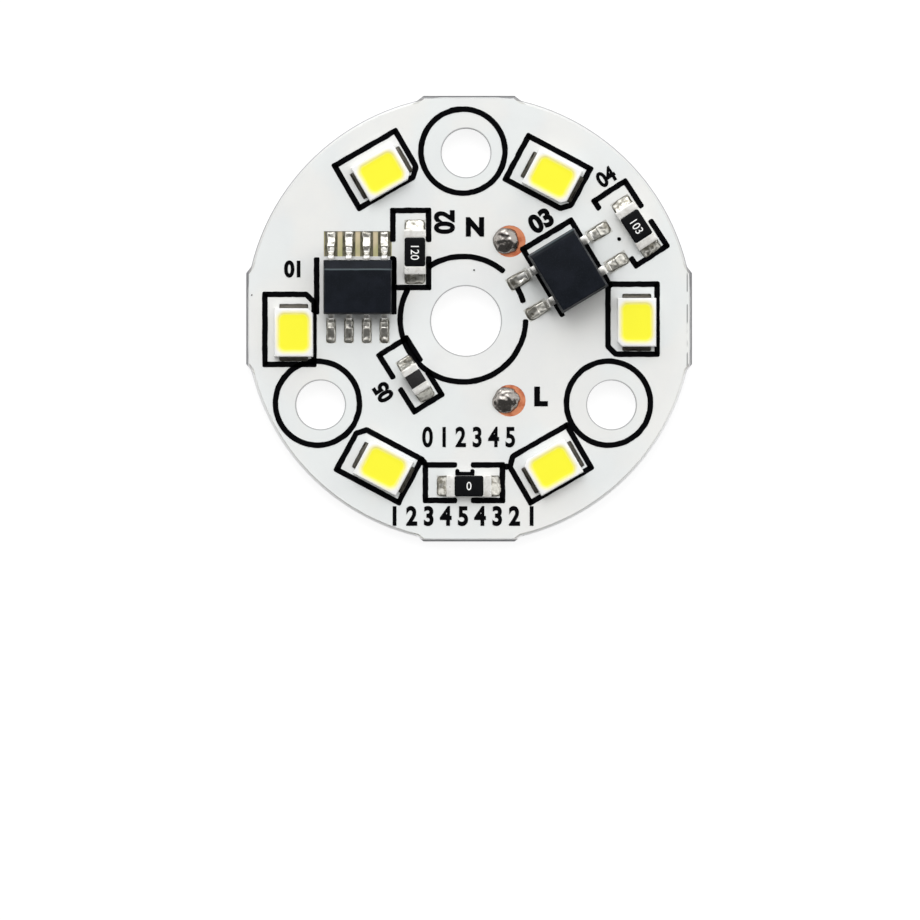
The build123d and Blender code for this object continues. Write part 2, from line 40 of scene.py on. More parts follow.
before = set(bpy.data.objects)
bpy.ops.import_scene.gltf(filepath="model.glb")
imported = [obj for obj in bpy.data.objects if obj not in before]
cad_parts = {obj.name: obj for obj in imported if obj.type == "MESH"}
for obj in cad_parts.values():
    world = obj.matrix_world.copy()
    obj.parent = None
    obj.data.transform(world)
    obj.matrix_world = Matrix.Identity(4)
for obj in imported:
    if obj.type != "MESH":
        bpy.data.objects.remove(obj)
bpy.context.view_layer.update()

Pair = tuple[float, float]
Triple = tuple[float, float, float]
Colour = tuple[float, float, float, float]
Test = Callable[[Vector, Vector], bool]

WHITE: Colour = (1.0, 1.0, 1.0, 1.0)

# Turns in degrees: the screw holes on their circle, the two ends of a part, the two rows of leads

SCREW_CIRCLE = 24.0
SCREW_TURNS = (90.0, 210.0, 330.0)
HALF_TURNS = (0.0, 180.0)
ROWS = (90.0, -90.0)

# Selections: the directions in the board's plane, how steep counts as upright, how near as equal

FLAT_WAYS = ("X", "Y")
STEEP = 0.9
NEAR = 0.01

# Solder and cutters, in millimetres: how deep they start, how thick a film's rim is

FILM_ROOT = 0.1
FILM_RIM = 0.02
HUMP_ROOT = 0.05
CUTTER_OVER = 0.05


def around(turn: float, reach: float, centre: Pair = (0.0, 0.0)) -> Pair:
    """A point at a distance from a centre, in a direction in degrees."""
    angle = math.radians(turn)
    return (centre[0] + reach * math.cos(angle), centre[1] + reach * math.sin(angle))


def stand(at: Pair, level: float, turn: float = 0.0) -> Matrix:
    """Matrix that sets something down at a point and a level, turned by degrees."""
    return Matrix.Translation((*at, level)) @ Matrix.Rotation(math.radians(turn), 4, "Z")


def screen(red: float, green: float, blue: float) -> Colour:
    """Turns a colour as read off a screen, 0 to 255, into a linear one.

    Args:
        red: The red channel.
        green: The green channel.
        blue: The blue channel.

    Returns:
        The linear colour with full alpha.
    """
    def linear(value: float) -> float:
        """One channel, made linear."""
        part = value / 255
        return part / 12.92 if part <= 0.04045 else ((part + 0.055) / 1.055) ** 2.4

    return (linear(red), linear(green), linear(blue), 1.0)


# Shader writing


class Wire:
    """A node's output that takes part in Python arithmetic."""

    def __init__(self, recipe: "Recipe", socket: bpy.types.NodeSocket | None) -> None:
        """Keeps the socket with the recipe that its nodes go to."""
        self.recipe = recipe
        self.socket = socket

    def _maths(self, operation: str, other: "Wire | float", swapped: bool = False) -> "Wire":
        """Adds one Math node of self and the other value, or of the other value and self if swapped."""
        first, second = (other, self) if swapped else (self, other)
        return self.recipe.node("ShaderNodeMath", {"operation": operation}, {0: first, 1: second})

    def __add__(self, other: "Wire | float") -> "Wire":
        """Sum."""
        return self._maths("ADD", other)

    __radd__ = __add__

    def __sub__(self, other: "Wire | float") -> "Wire":
        """Difference."""
        return self._maths("SUBTRACT", other)

    def __rsub__(self, other: float) -> "Wire":
        """Difference from a number."""
        return self._maths("SUBTRACT", other, swapped=True)

    def __mul__(self, other: "Wire | float") -> "Wire":
        """Product."""
        return self._maths("MULTIPLY", other)

    __rmul__ = __mul__

    def __truediv__(self, other: "Wire | float") -> "Wire":
        """Quotient."""
        return self._maths("DIVIDE", other)

    def __abs__(self) -> "Wire":
        """Size without sign."""
        return self._maths("ABSOLUTE", 0.0)

    def larger(self, other: "Wire | float") -> "Wire":
        """The larger of the two."""
        return self._maths("MAXIMUM", other)

    def root(self) -> "Wire":
        """Square root."""
        return self._maths("SQRT", 0.0)

    def ease(self, low: float, high: float) -> "Wire":
        """Smooth step from 0 at low to 1 at high."""
        settings = {"interpolation_type": "SMOOTHSTEP"}
        return self.recipe.node("ShaderNodeMapRange", settings, {0: self, 1: low, 2: high, 3: 0.0, 4: 1.0})

    def between(self, low: float, high: float) -> "Wire":
        """Spreads values from 0 to 1 evenly over the span from low to high."""
        return self * (high - low) + low


class Recipe:
    """One node tree while it is written: a material's, or the world's."""

    def __init__(self, tree: bpy.types.NodeTree) -> None:
        """Starts an empty tree."""
        self.tree = tree
        self.tree.nodes.clear()

    def node(
        self,
        kind: str,
        settings: dict[str, object] | None = None,
        inputs: dict[int | str, object] | None = None,
        output: int | str = 0,
    ) -> Wire:
        """Adds any node.

        Args:
            kind: The node's type.
            settings: Its properties, set first.
            inputs: Values or links for its sockets, by number or name.
            output: The output that is returned.

        Returns:
            The wanted output.
        """
        made = self.tree.nodes.new(kind)
        for key, value in (settings or {}).items():
            setattr(made, key, value)
        for key, value in (inputs or {}).items():
            if isinstance(value, Wire):
                self.tree.links.new(value.socket, made.inputs[key])
            else:
                made.inputs[key].default_value = value
        return Wire(self, made.outputs[output] if made.outputs else None)

    def place(self, kind: str = "Object") -> Wire:
        """Coordinates in the object's own space, in metres, or its UV map."""
        return self.node("ShaderNodeTexCoord", output=kind)

    def seen(self) -> Wire:
        """1 where the camera looks straight at the surface, else 0."""
        return self.node("ShaderNodeLightPath", output="Is Camera Ray")

    def away(self, x: Wire, y: Wire, centre: Pair = (0.0, 0.0)) -> Wire:
        """Distance in millimetres from a centre in millimetres, for wires x and y in metres."""
        off_x, off_y = x / MM - centre[0], y / MM - centre[1]
        return (off_x * off_x + off_y * off_y).root()

    def mapped(self, turn: float = 0.0, scale: Triple = (1.0, 1.0, 1.0)) -> Wire:
        """Object coordinates turned about the board's axis and then scaled.

        Args:
            turn: The turn in degrees.
            scale: Scale along each axis.

        Returns:
            The coordinates.
        """
        inputs = {"Vector": self.place(), "Rotation": (0.0, 0.0, math.radians(turn))}
        turned = self.node("ShaderNodeMapping", {"vector_type": "TEXTURE"}, inputs)
        return self.node("ShaderNodeMapping", {"vector_type": "POINT"}, {"Vector": turned, "Scale": scale})

    def parts(self, vector: Wire) -> tuple[Wire, Wire, Wire]:
        """The three parts of a vector.

        Args:
            vector: The vector.

        Returns:
            The wires of x, y and z.
        """
        split = self.tree.nodes.new("ShaderNodeSeparateXYZ")
        self.tree.links.new(vector.socket, split.inputs[0])
        return tuple(Wire(self, socket) for socket in split.outputs)

    def noise(
        self,
        per_mm: float,
        detail: float = 3.0,
        vector: Wire | None = None,
        rough: float = 0.5,
    ) -> Wire:
        """Noise round 0.5 with so many waves to the millimetre, on the object's own place by default."""
        inputs = {"Scale": per_mm / MM, "Detail": detail, "Roughness": rough}
        return self.node("ShaderNodeTexNoise", {}, {"Vector": vector or self.place(), **inputs})

    def blend(self, share: Wire | float, first: object, second: object) -> Wire:
        """Mixes two colours or wires, with share of the second."""
        settings = {"data_type": "RGBA", "clamp_factor": True}
        return self.node("ShaderNodeMix", settings, {0: share, 6: first, 7: second}, output=2)

    def coats(self, base: object, *layers: tuple[Wire | float, object]) -> Wire:
        """Lays colours over each other.

        Args:
            base: The lowest colour.
            *layers: The share and the colour of each coat, from below.

        Returns:
            The mixed colour.
        """
        for share, colour in layers:
            base = self.blend(share, base, colour)
        return base

    def bump(self, height: Wire, depth_um: float, strength: float = 1.0) -> Wire:
        """A bumped normal, where a height of 1 stands for depth_um thousandths of a millimetre."""
        inputs = {"Height": height, "Distance": depth_um * MM * MM, "Strength": strength}
        return self.node("ShaderNodeBump", {}, inputs)

    def surface(self, **sockets: object) -> None:
        """Ends a material with one Principled shader.

        Args:
            **sockets: Its sockets by name, with _ for a space.
        """
        inputs = {key.replace("_", " "): value for key, value in sockets.items()}
        shader = self.node("ShaderNodeBsdfPrincipled", {}, inputs)
        self.node("ShaderNodeOutputMaterial", {}, {"Surface": shader})


# Finishes


class Finish:
    """A finish of the board that builds its material once."""

    title: str

    def write(self, recipe: Recipe) -> None:
        """Writes the node tree."""
        raise NotImplementedError

    def material(self) -> bpy.types.Material:
        """The finish's material, built on first use.

        Returns:
            The material.
        """
        found = bpy.data.materials.get(self.title)
        if found is None:
            found = bpy.data.materials.new(self.title)
            found.use_nodes = True
            self.write(Recipe(found.node_tree))
        return found


@dataclass(frozen=True)
class MaskFinish(Finish):
    """White solder mask: half gloss, slightly cloudy, paler in the middle, with painted shade round the holes
    and along the right flat.
    """

    title: str = "white_mask"
    cool: Colour = screen(230, 233, 232)
    warm: Colour = screen(233, 233, 230)
    pale: Colour = screen(243, 244, 244)
    cloudy: Colour = screen(221, 223, 224)
    grainy: Colour = screen(212, 214, 214)
    hole_rim_shade: Colour = screen(138, 138, 140)
    score_shade: Colour = screen(120, 120, 122)
    rim_mm: Pair = (14.9, 15.45)
    middle_mm: Pair = (3.8, 4.7)
    score_at_mm: float = 15.8
    score_half_mm: Pair = (0.02, 0.07)
    score_end_mm: Pair = (3.2, 3.6)
    centre_hole_r: float = 2.5
    screw_hole_r: float = 1.75
    hole_edge_mm: Pair = (0.03, 0.1)

    def hole_edges(self, recipe: Recipe, x: Wire, y: Wire, cloud: Wire) -> Wire:
        """How near a point is to the edge of a hole.

        Args:
            recipe: The node tree.
            x: The point's place along x, in metres.
            y: Its place along y, in metres.
            cloud: Noise that makes the edges uneven.

        Returns:
            1 at an edge, 0 away from all.
        """
        holes = [(around(turn, SCREW_CIRCLE / 2), self.screw_hole_r) for turn in SCREW_TURNS]
        edge: Wire | float = 0.0
        for centre, radius in [((0.0, 0.0), self.centre_hole_r), *holes]:
            near = recipe.away(x, y, centre) - radius + (cloud - 0.5) * 0.06
            edge = (1.0 - near.ease(*self.hole_edge_mm)).larger(edge)
        return edge

    def write(self, recipe: Recipe) -> None:
        """Writes the node tree.

        Args:
            recipe: The node tree.
        """
        x, y, _ = recipe.parts(recipe.place())
        cloud = recipe.noise(0.3, 4.0)
        tint = recipe.noise(0.18, 2.0)
        grain = recipe.noise(9.0, 4.0)
        reach = recipe.away(x, y)
        rim = reach.ease(*self.rim_mm)
        middle = 1.0 - reach.ease(*self.middle_mm)
        # painted shade: a darker line along the slope of the score by the right flat, broken into patches and
        # fading towards the flat's ends
        score_shade_patches = recipe.noise(0.55, 2.0).ease(0.52, 0.6) * (1.0 - abs(y / MM).ease(*self.score_end_mm))
        score = (1.0 - abs(x / MM - self.score_at_mm).ease(*self.score_half_mm)) * score_shade_patches
        base = recipe.coats(
            self.cool,
            (tint.ease(0.42, 0.6), self.warm),
            (rim * 0.1 + middle * 0.35, self.pale),
            (cloud.ease(0.35, 0.75) * 0.4, self.cloudy),
            (grain.ease(0.62, 0.8) * 0.25, self.grainy),
            # painted shade: a darker grey ring round the edge of each hole, where its wall shades it
            (self.hole_edges(recipe, x, y, cloud) * 0.75, self.hole_rim_shade),
            (score * 0.8, self.score_shade),
        )
        recipe.surface(
            Base_Color=base,
            Roughness=cloud.between(0.36, 0.54),
            Normal=recipe.bump(recipe.noise(2.2, 3.0) * 0.7 + grain * 0.3, 4.0, 0.6),
            IOR=1.5,
            Specular_IOR_Level=0.35,
        )


@dataclass(frozen=True)
class InkFinish(Finish):
    """Black screen-printed ink, with pinholes and a slightly uneven film."""

    title: str = "black_ink"
    ink: Colour = screen(2, 2, 4)
    pinhole: Colour = screen(34, 34, 37)

    def write(self, recipe: Recipe) -> None:
        """Writes the node tree.

        Args:
            recipe: The node tree.
        """
        film = recipe.noise(3.0, 4.0)
        dots = recipe.noise(14.0, 2.0)
        recipe.surface(
            Base_Color=recipe.blend(dots.ease(0.66, 0.8) * 0.5, self.ink, self.pinhole),
            Roughness=film.between(0.55, 0.8),
            Normal=recipe.bump(film * 0.6 + dots * 0.4, 5.0, 0.7),
            IOR=1.45,
            Specular_IOR_Level=0.05,
        )


@dataclass(frozen=True)
class SolderFinish(Finish):
    """Reflowed solder: bright metal with grain, dull patches and dark flux round its foot."""

    title: str = "reflowed_solder"
    bright: Colour = screen(208, 206, 198)
    dull: Colour = screen(116, 111, 98)
    flux: Colour = screen(50, 46, 34)
    polish: float = 0.2
    foot_mm: float = 0.12
    pad_z_mm: float = 1.115

    def write(self, recipe: Recipe) -> None:
        """Writes the node tree.

        Args:
            recipe: The node tree.
        """
        _, _, height = recipe.parts(recipe.place())
        patch = recipe.noise(1.1, 4.0)
        streak = recipe.noise(2.8, 5.0, rough=0.62)
        grain = recipe.noise(16.0, 2.0)
        dull = (patch * 0.55 + streak * 0.45).ease(0.5, 0.62)
        above = height / MM - self.pad_z_mm + (streak - 0.5) * 0.16
        foot = 1.0 - above.ease(self.foot_mm * 0.25, self.foot_mm)
        recipe.surface(
            Base_Color=recipe.coats(self.bright, (dull * 0.85, self.dull), (foot * 0.85, self.flux)),
            Metallic=1.0 - foot * 0.35,
            Roughness=streak.between(self.polish, self.polish + 0.3),
            Normal=recipe.bump(streak * 0.75 + grain * 0.25, 14.0, 0.6),
        )


@dataclass(frozen=True)
class TinFinish(Finish):
    """Matt tin plating on leads and end caps."""

    title: str = "matt_tin"
    colour: Colour = screen(214, 213, 209)
    shade: Colour = screen(142, 138, 130)
    rough: float = 0.28
    metal: float = 1.0

    def write(self, recipe: Recipe) -> None:
        """Writes the node tree.

        Args:
            recipe: The node tree.
        """
        patch = recipe.noise(2.6, 4.0)
        grain = recipe.noise(22.0, 2.0)
        recipe.surface(
            Base_Color=recipe.blend(patch.ease(0.42, 0.72) * 0.6, self.colour, self.shade),
            Metallic=self.metal,
            Roughness=patch.between(self.rough - 0.1, self.rough + 0.1),
            Normal=recipe.bump(grain * 0.5 + patch * 0.5, 9.0, 0.6),
        )


@dataclass(frozen=True)
class MouldingFinish(Finish):
    """Black moulding compound with its mould's fine grain and a painted highlight along one edge.

    The painted highlight is a line that goes through crease and runs square to the direction across.
    """

    title: str
    crease: Pair
    across: Pair
    cool: Colour = screen(10, 15, 22)
    warm: Colour = screen(18, 22, 30)
    grainy: Colour = screen(30, 34, 42)
    painted_edge_light: Colour = screen(84, 94, 98)

    def write(self, recipe: Recipe) -> None:
        """Writes the node tree.

        Args:
            recipe: The node tree.
        """
        patch = recipe.noise(0.8, 3.0)
        grain = recipe.noise(12.0, 4.0)
        x, y, _ = recipe.parts(recipe.place())
        off = (x / MM - self.crease[0]) * self.across[0] + (y / MM - self.crease[1]) * self.across[1]
        # painted highlight: a light line along the bevel's edge, where it would glint
        line = 1.0 - abs(off + (patch - 0.5) * 0.06).ease(0.03, 0.08)
        base = recipe.coats(
            self.cool,
            (patch.ease(0.4, 0.65), self.warm),
            (grain.ease(0.5, 0.72) * 0.6, self.grainy),
            (line * 0.8, self.painted_edge_light),
        )
        recipe.surface(
            Base_Color=base,
            Roughness=grain.between(0.36, 0.56),
            Normal=recipe.bump(grain * 0.7 + patch * 0.3, 8.0, 0.8),
            IOR=1.52,
            Specular_IOR_Level=0.1,
        )


@dataclass(frozen=True)
class Mouth:
    """The open top of an LED's cup: its size and corners in millimetres, its walls' slope in degrees."""

    length: float = 2.75
    width: float = 2.2
    corner: float = 0.5
    slope: float = 22.0

    def past_wall(self, recipe: Recipe) -> Wire:
        """How far a point lies outside the mouth, in millimetres.

        Args:
            recipe: The node tree of a piece whose UV map holds the place in the cup in millimetres.

        Returns:
            The distance, below 0 inside.
        """
        u, v, _ = recipe.parts(recipe.place("UV"))
        over_x = (abs(u) - (self.length / 2 - self.corner)).larger(0.0)
        over_y = (abs(v) - (self.width / 2 - self.corner)).larger(0.0)
        return (over_x * over_x + over_y * over_y).root() - self.corner


@dataclass(frozen=True)
class PhosphorFinish(Finish):
    """Phosphor gel: strong yellow that turns pale at the cup's wall."""

    title: str = "phosphor_gel"
    mouth: Mouth = Mouth()
    pale: Colour = screen(248, 242, 146)
    strong: Colour = screen(250, 244, 54)
    grainy: Colour = screen(245, 233, 50)

    def write(self, recipe: Recipe) -> None:
        """Writes the node tree.

        Args:
            recipe: The node tree.
        """
        grain = recipe.noise(18.0, 3.0)
        cloud = recipe.noise(1.4, 3.0)
        depth = (cloud - 0.5) * 0.1 - self.mouth.past_wall(recipe)
        base = recipe.coats(
            self.pale, (depth.ease(-0.02, 0.2), self.strong), (grain.ease(0.55, 0.75) * 0.3, self.grainy)
        )
        recipe.surface(
            Base_Color=base,
            Roughness=grain.between(0.42, 0.62),
            Normal=recipe.bump(grain * 0.6 + cloud * 0.4, 8.0, 0.6),
            IOR=1.41,
            Specular_IOR_Level=0.3,
        )


@dataclass(frozen=True)
class CupFinish(Finish):
    """White moulding of the LED cups, tinted by the phosphor round the mouth."""

    title: str = "white_cup"
    mouth: Mouth = Mouth()
    white: Colour = screen(244, 244, 242)
    cloudy: Colour = screen(238, 239, 236)
    tinted: Colour = screen(252, 240, 112)
    bleed_mm: Pair = (-0.1, 0.3)

    def write(self, recipe: Recipe) -> None:
        """Writes the node tree.

        Args:
            recipe: The node tree.
        """
        cloud = recipe.noise(1.2, 3.0)
        grain = recipe.noise(20.0, 2.0)
        off = self.mouth.past_wall(recipe) + (cloud - 0.5) * 0.08
        bleed = (1.0 - off.ease(*self.bleed_mm)) * 0.9
        clouds = (cloud.ease(0.4, 0.7) * 0.5, self.cloudy)
        recipe.surface(
            Base_Color=recipe.coats(self.white, clouds, (bleed, self.tinted)),
            Roughness=grain.between(0.4, 0.55),
            Normal=recipe.bump(grain, 4.0, 0.5),
            IOR=1.5,
        )


@dataclass(frozen=True)
class CopperFinish(Finish):
    """Copper foil: bare round the two terminals and tinned elsewhere, stained by flux at the driver."""

    title: str = "bare_copper"
    bare: Colour = screen(226, 146, 106)
    tarnished: Colour = screen(196, 100, 64)
    stained: Colour = screen(74, 72, 54)
    flux: Colour = screen(116, 112, 92)
    tin: Colour = screen(208, 208, 202)
    terminals: tuple[Pair, ...] = ((3.12, 5.68), (3.12, -5.70))
    reach_mm: Pair = (1.35, 1.45)
    window_from_y_mm: Pair = (4.4, 4.5)
    window_to_x_mm: Pair = (-4.9, -4.8)

    def write(self, recipe: Recipe) -> None:
        """Writes the node tree; the stain fills the driver's open window in the mask.

        Args:
            recipe: The node tree.
        """
        patch = recipe.noise(1.6, 4.0)
        grain = recipe.noise(15.0, 3.0)
        x, y, _ = recipe.parts(recipe.place())
        tinned: Wire | float = 1.0
        for centre in self.terminals:
            tinned = recipe.away(x, y, centre).ease(*self.reach_mm) * tinned
        window = (y / MM).ease(*self.window_from_y_mm) * (1.0 - (x / MM).ease(*self.window_to_x_mm))
        stain = recipe.blend(patch.ease(0.4, 0.62), self.stained, self.flux)
        cover = recipe.blend(window, self.tin, stain)
        recipe.surface(
            Base_Color=recipe.coats(self.bare, (patch.ease(0.4, 0.68), self.tarnished), (tinned, cover)),
            Metallic=0.6 - tinned * 0.4,
            Roughness=grain.between(0.38, 0.58),
            Normal=recipe.bump(grain * 0.6 + patch * 0.4, 8.0, 0.6),
        )


@dataclass(frozen=True)
class PlateFinish(Finish):
    """Rolled aluminium: fine lines along the rolling direction, dull spots and light scratches."""

    title: str = "rolled_aluminium"
    dark_line: Colour = screen(196, 198, 200)
    pale_line: Colour = screen(222, 223, 224)
    cloudy: Colour = screen(178, 180, 184)
    bevel_painted_shade: Colour = screen(212, 213, 213)
    bevel_painted_sheen: Colour = screen(250, 251, 251)
    lip_painted_shade: Colour = screen(160, 160, 162)
    lip_painted_sheen: Colour = screen(244, 244, 245)
    centre: Pair = (0.22, 0.16)
    radius: float = 16.0
    flat: float = 15.92
    lip_mm: Pair = (-0.08, -0.05)
    front_mm: Pair = (-8.0, 4.0)
    top_mm: Pair = (0.84, 0.86)

    def write(self, recipe: Recipe) -> None:
        """Writes the node tree; the broken top edge carries painted light, with painted shade that makes it
        grey and dark at the back and a painted reflection that makes it pale in front.

        Args:
            recipe: The node tree.
        """
        lines = recipe.noise(9.0, 4.0, recipe.mapped(12.0, (0.03, 1.0, 1.0)))
        scratch = recipe.noise(3.5, 2.0, recipe.mapped(-31.0, (0.02, 1.0, 1.0))).ease(0.7, 0.76)
        cloud = recipe.noise(0.25, 4.0)
        x, y, z = recipe.parts(recipe.place())
        over_x = abs(x / MM - self.centre[0]) - self.flat
        over_y = y / MM - self.centre[1]
        out = recipe.away(x, y, self.centre) - self.radius
        lip = out.larger(over_x).larger(abs(over_y) - self.flat).ease(*self.lip_mm)
        # painted light: the top edge goes from painted shade at the back to a pale painted reflection in
        # front
        front = 1.0 - over_y.ease(*self.front_mm)
        top = (z / MM).ease(*self.top_mm)
        painted_bevel_light = recipe.blend(front, self.bevel_painted_shade, self.bevel_painted_sheen)
        painted_edge_light = recipe.blend(front, self.lip_painted_shade, self.lip_painted_sheen)
        base = recipe.coats(
            self.dark_line,
            (lines, self.pale_line),
            (cloud.ease(0.45, 0.7) * 0.4, self.cloudy),
            (top, recipe.blend(lip, painted_bevel_light, painted_edge_light)),
        )
        recipe.surface(
            Base_Color=base,
            # the top edge is painted pale as a reflection, so it is mostly not metal
            Metallic=1.0 - top * 0.9,
            Roughness=lines * 0.16 + cloud * 0.14 + 0.24,
            Normal=recipe.bump(lines * 0.7 + scratch * 0.3, 6.0, 0.6),
        )


@dataclass(frozen=True)
class DielectricFinish(Finish):
    """Filled epoxy between the plate and the copper, tan and slightly fibrous."""

    title: str = "tan_dielectric"
    green: Colour = screen(188, 186, 134)
    tan: Colour = screen(208, 193, 160)
    fibres: Colour = screen(172, 162, 122)

    def write(self, recipe: Recipe) -> None:
        """Writes the node tree.

        Args:
            recipe: The node tree.
        """
        fibre = recipe.noise(3.0, 4.0, recipe.mapped(0.0, (1.0, 0.35, 1.0)))
        tint = recipe.noise(0.55, 2.0)
        recipe.surface(
            Base_Color=recipe.coats(
                self.green, (tint.ease(0.42, 0.6), self.tan), (fibre.ease(0.5, 0.75) * 0.4, self.fibres)
            ),
            Roughness=fibre.between(0.45, 0.65),
            Normal=recipe.bump(fibre, 6.0, 0.6),
        )


@dataclass(frozen=True)
class CeramicFinish(Finish):
    """Fired ceramic: white alumina, or the dark block of a layered capacitor."""

    title: str = "white_alumina"
    colour: Colour = screen(236, 236, 232)
    fleck: Colour = screen(214, 214, 208)
    gloss: float = 0.4

    def write(self, recipe: Recipe) -> None:
        """Writes the node tree.

        Args:
            recipe: The node tree.
        """
        fleck = recipe.noise(11.0, 4.0)
        recipe.surface(
            Base_Color=recipe.blend(fleck.ease(0.5, 0.75) * 0.6, self.colour, self.fleck),
            Roughness=recipe.noise(1.5, 3.0).between(0.42, 0.62),
            Normal=recipe.bump(fleck, 5.0, 0.6),
            Specular_IOR_Level=self.gloss,
        )


@dataclass(frozen=True)
class CoatFinish(Finish):
    """Black glass coat of a chip resistor."""

    title: str = "black_coat"
    glass: Colour = screen(7, 8, 11)
    speck: Colour = screen(44, 46, 50)

    def write(self, recipe: Recipe) -> None:
        """Writes the node tree.

        Args:
            recipe: The node tree.
        """
        ripple = recipe.noise(2.4, 3.0)
        specks = recipe.noise(17.0, 2.0)
        recipe.surface(
            Base_Color=recipe.blend(specks.ease(0.62, 0.8) * 0.5, self.glass, self.speck),
            Roughness=ripple.between(0.28, 0.48),
            Normal=recipe.bump(ripple * 0.7 + specks * 0.3, 8.0, 0.6),
            IOR=1.5,
            Specular_IOR_Level=0.12,
        )


@dataclass(frozen=True)
class WhiteInkFinish(Finish):
    """White marking on the resistors' coats."""

    title: str = "white_marking"
    white: Colour = screen(250, 250, 248)
    thin: Colour = screen(214, 215, 214)

    def write(self, recipe: Recipe) -> None:
        """Writes the node tree.

        Args:
            recipe: The node tree.
        """
        film = recipe.noise(8.0, 3.0)
        recipe.surface(
            Base_Color=recipe.blend(film.ease(0.5, 0.75) * 0.5, self.white, self.thin),
            Roughness=film.between(0.5, 0.7),
            Normal=recipe.bump(film, 4.0, 0.5),
        )


@dataclass(frozen=True)
class DieFinish(Finish):
    """Sawn semiconductor chip."""

    title: str = "blue_die"
    face: Colour = screen(120, 150, 190)
    sawn: Colour = screen(70, 76, 90)

    def write(self, recipe: Recipe) -> None:
        """Writes the node tree.

        Args:
            recipe: The node tree.
        """
        saw = recipe.noise(30.0, 2.0, recipe.mapped(0.0, (1.0, 0.1, 1.0)))
        recipe.surface(
            Base_Color=recipe.blend(saw.ease(0.4, 0.7) * 0.5, self.face, self.sawn),
            Roughness=saw.between(0.15, 0.35),
            Normal=recipe.bump(saw, 3.0, 0.5),
        )


LED_PLATE = TinFinish(
    "silvered_plate", colour=screen(82, 79, 71), shade=screen(30, 29, 25), rough=0.35, metal=0.6
)
END_CAP = TinFinish(
    "plated_end", colour=screen(240, 239, 235), shade=screen(196, 192, 184), rough=0.3, metal=0.35
)
LED_BEAD = SolderFinish(
    "led_bead",
    bright=screen(78, 75, 69),
    dull=screen(24, 23, 20),
    flux=screen(9, 8, 6),
    polish=0.3,
    foot_mm=0.17,
)
CHIP_JOINT = SolderFinish("chip_joint")
TERMINAL_DROP = SolderFinish(
    "terminal_drop", bright=screen(150, 145, 140), dull=screen(62, 56, 52), polish=0.04
)
DARK_CERAMIC = CeramicFinish("dark_ceramic", colour=screen(30, 29, 30), fleck=screen(54, 50, 48), gloss=0.25)


def dress(nodes: Sequence[str], finish: Finish) -> None:
    """Gives CAD nodes a finish.

    Args:
        nodes: The nodes' names.
        finish: Their finish.
    """
    for name in nodes:
        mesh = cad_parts[name].data
        mesh.materials.clear()
        mesh.materials.append(finish.material())
        LOG.info("%s wears %s", name, finish.title)


# Bench work


class Pick(Enum):
    """What a selection is made of, as Blender's three select modes."""

    POINTS = (True, False, False)
    EDGES = (False, True, False)
    FACES = (False, False, True)


def up(_: Vector, way: Vector) -> bool:
    """Whether a face looks up."""
    return way.z > STEEP


def upright(_: Vector, way: Vector) -> bool:
    """Whether an edge stands upright."""
    return abs(way.z) > STEEP


def level_at(level: float) -> Test:
    """A test for the level face at a height."""
    return lambda place, way: abs(place.z - level) < NEAR and abs(way.z) > STEEP


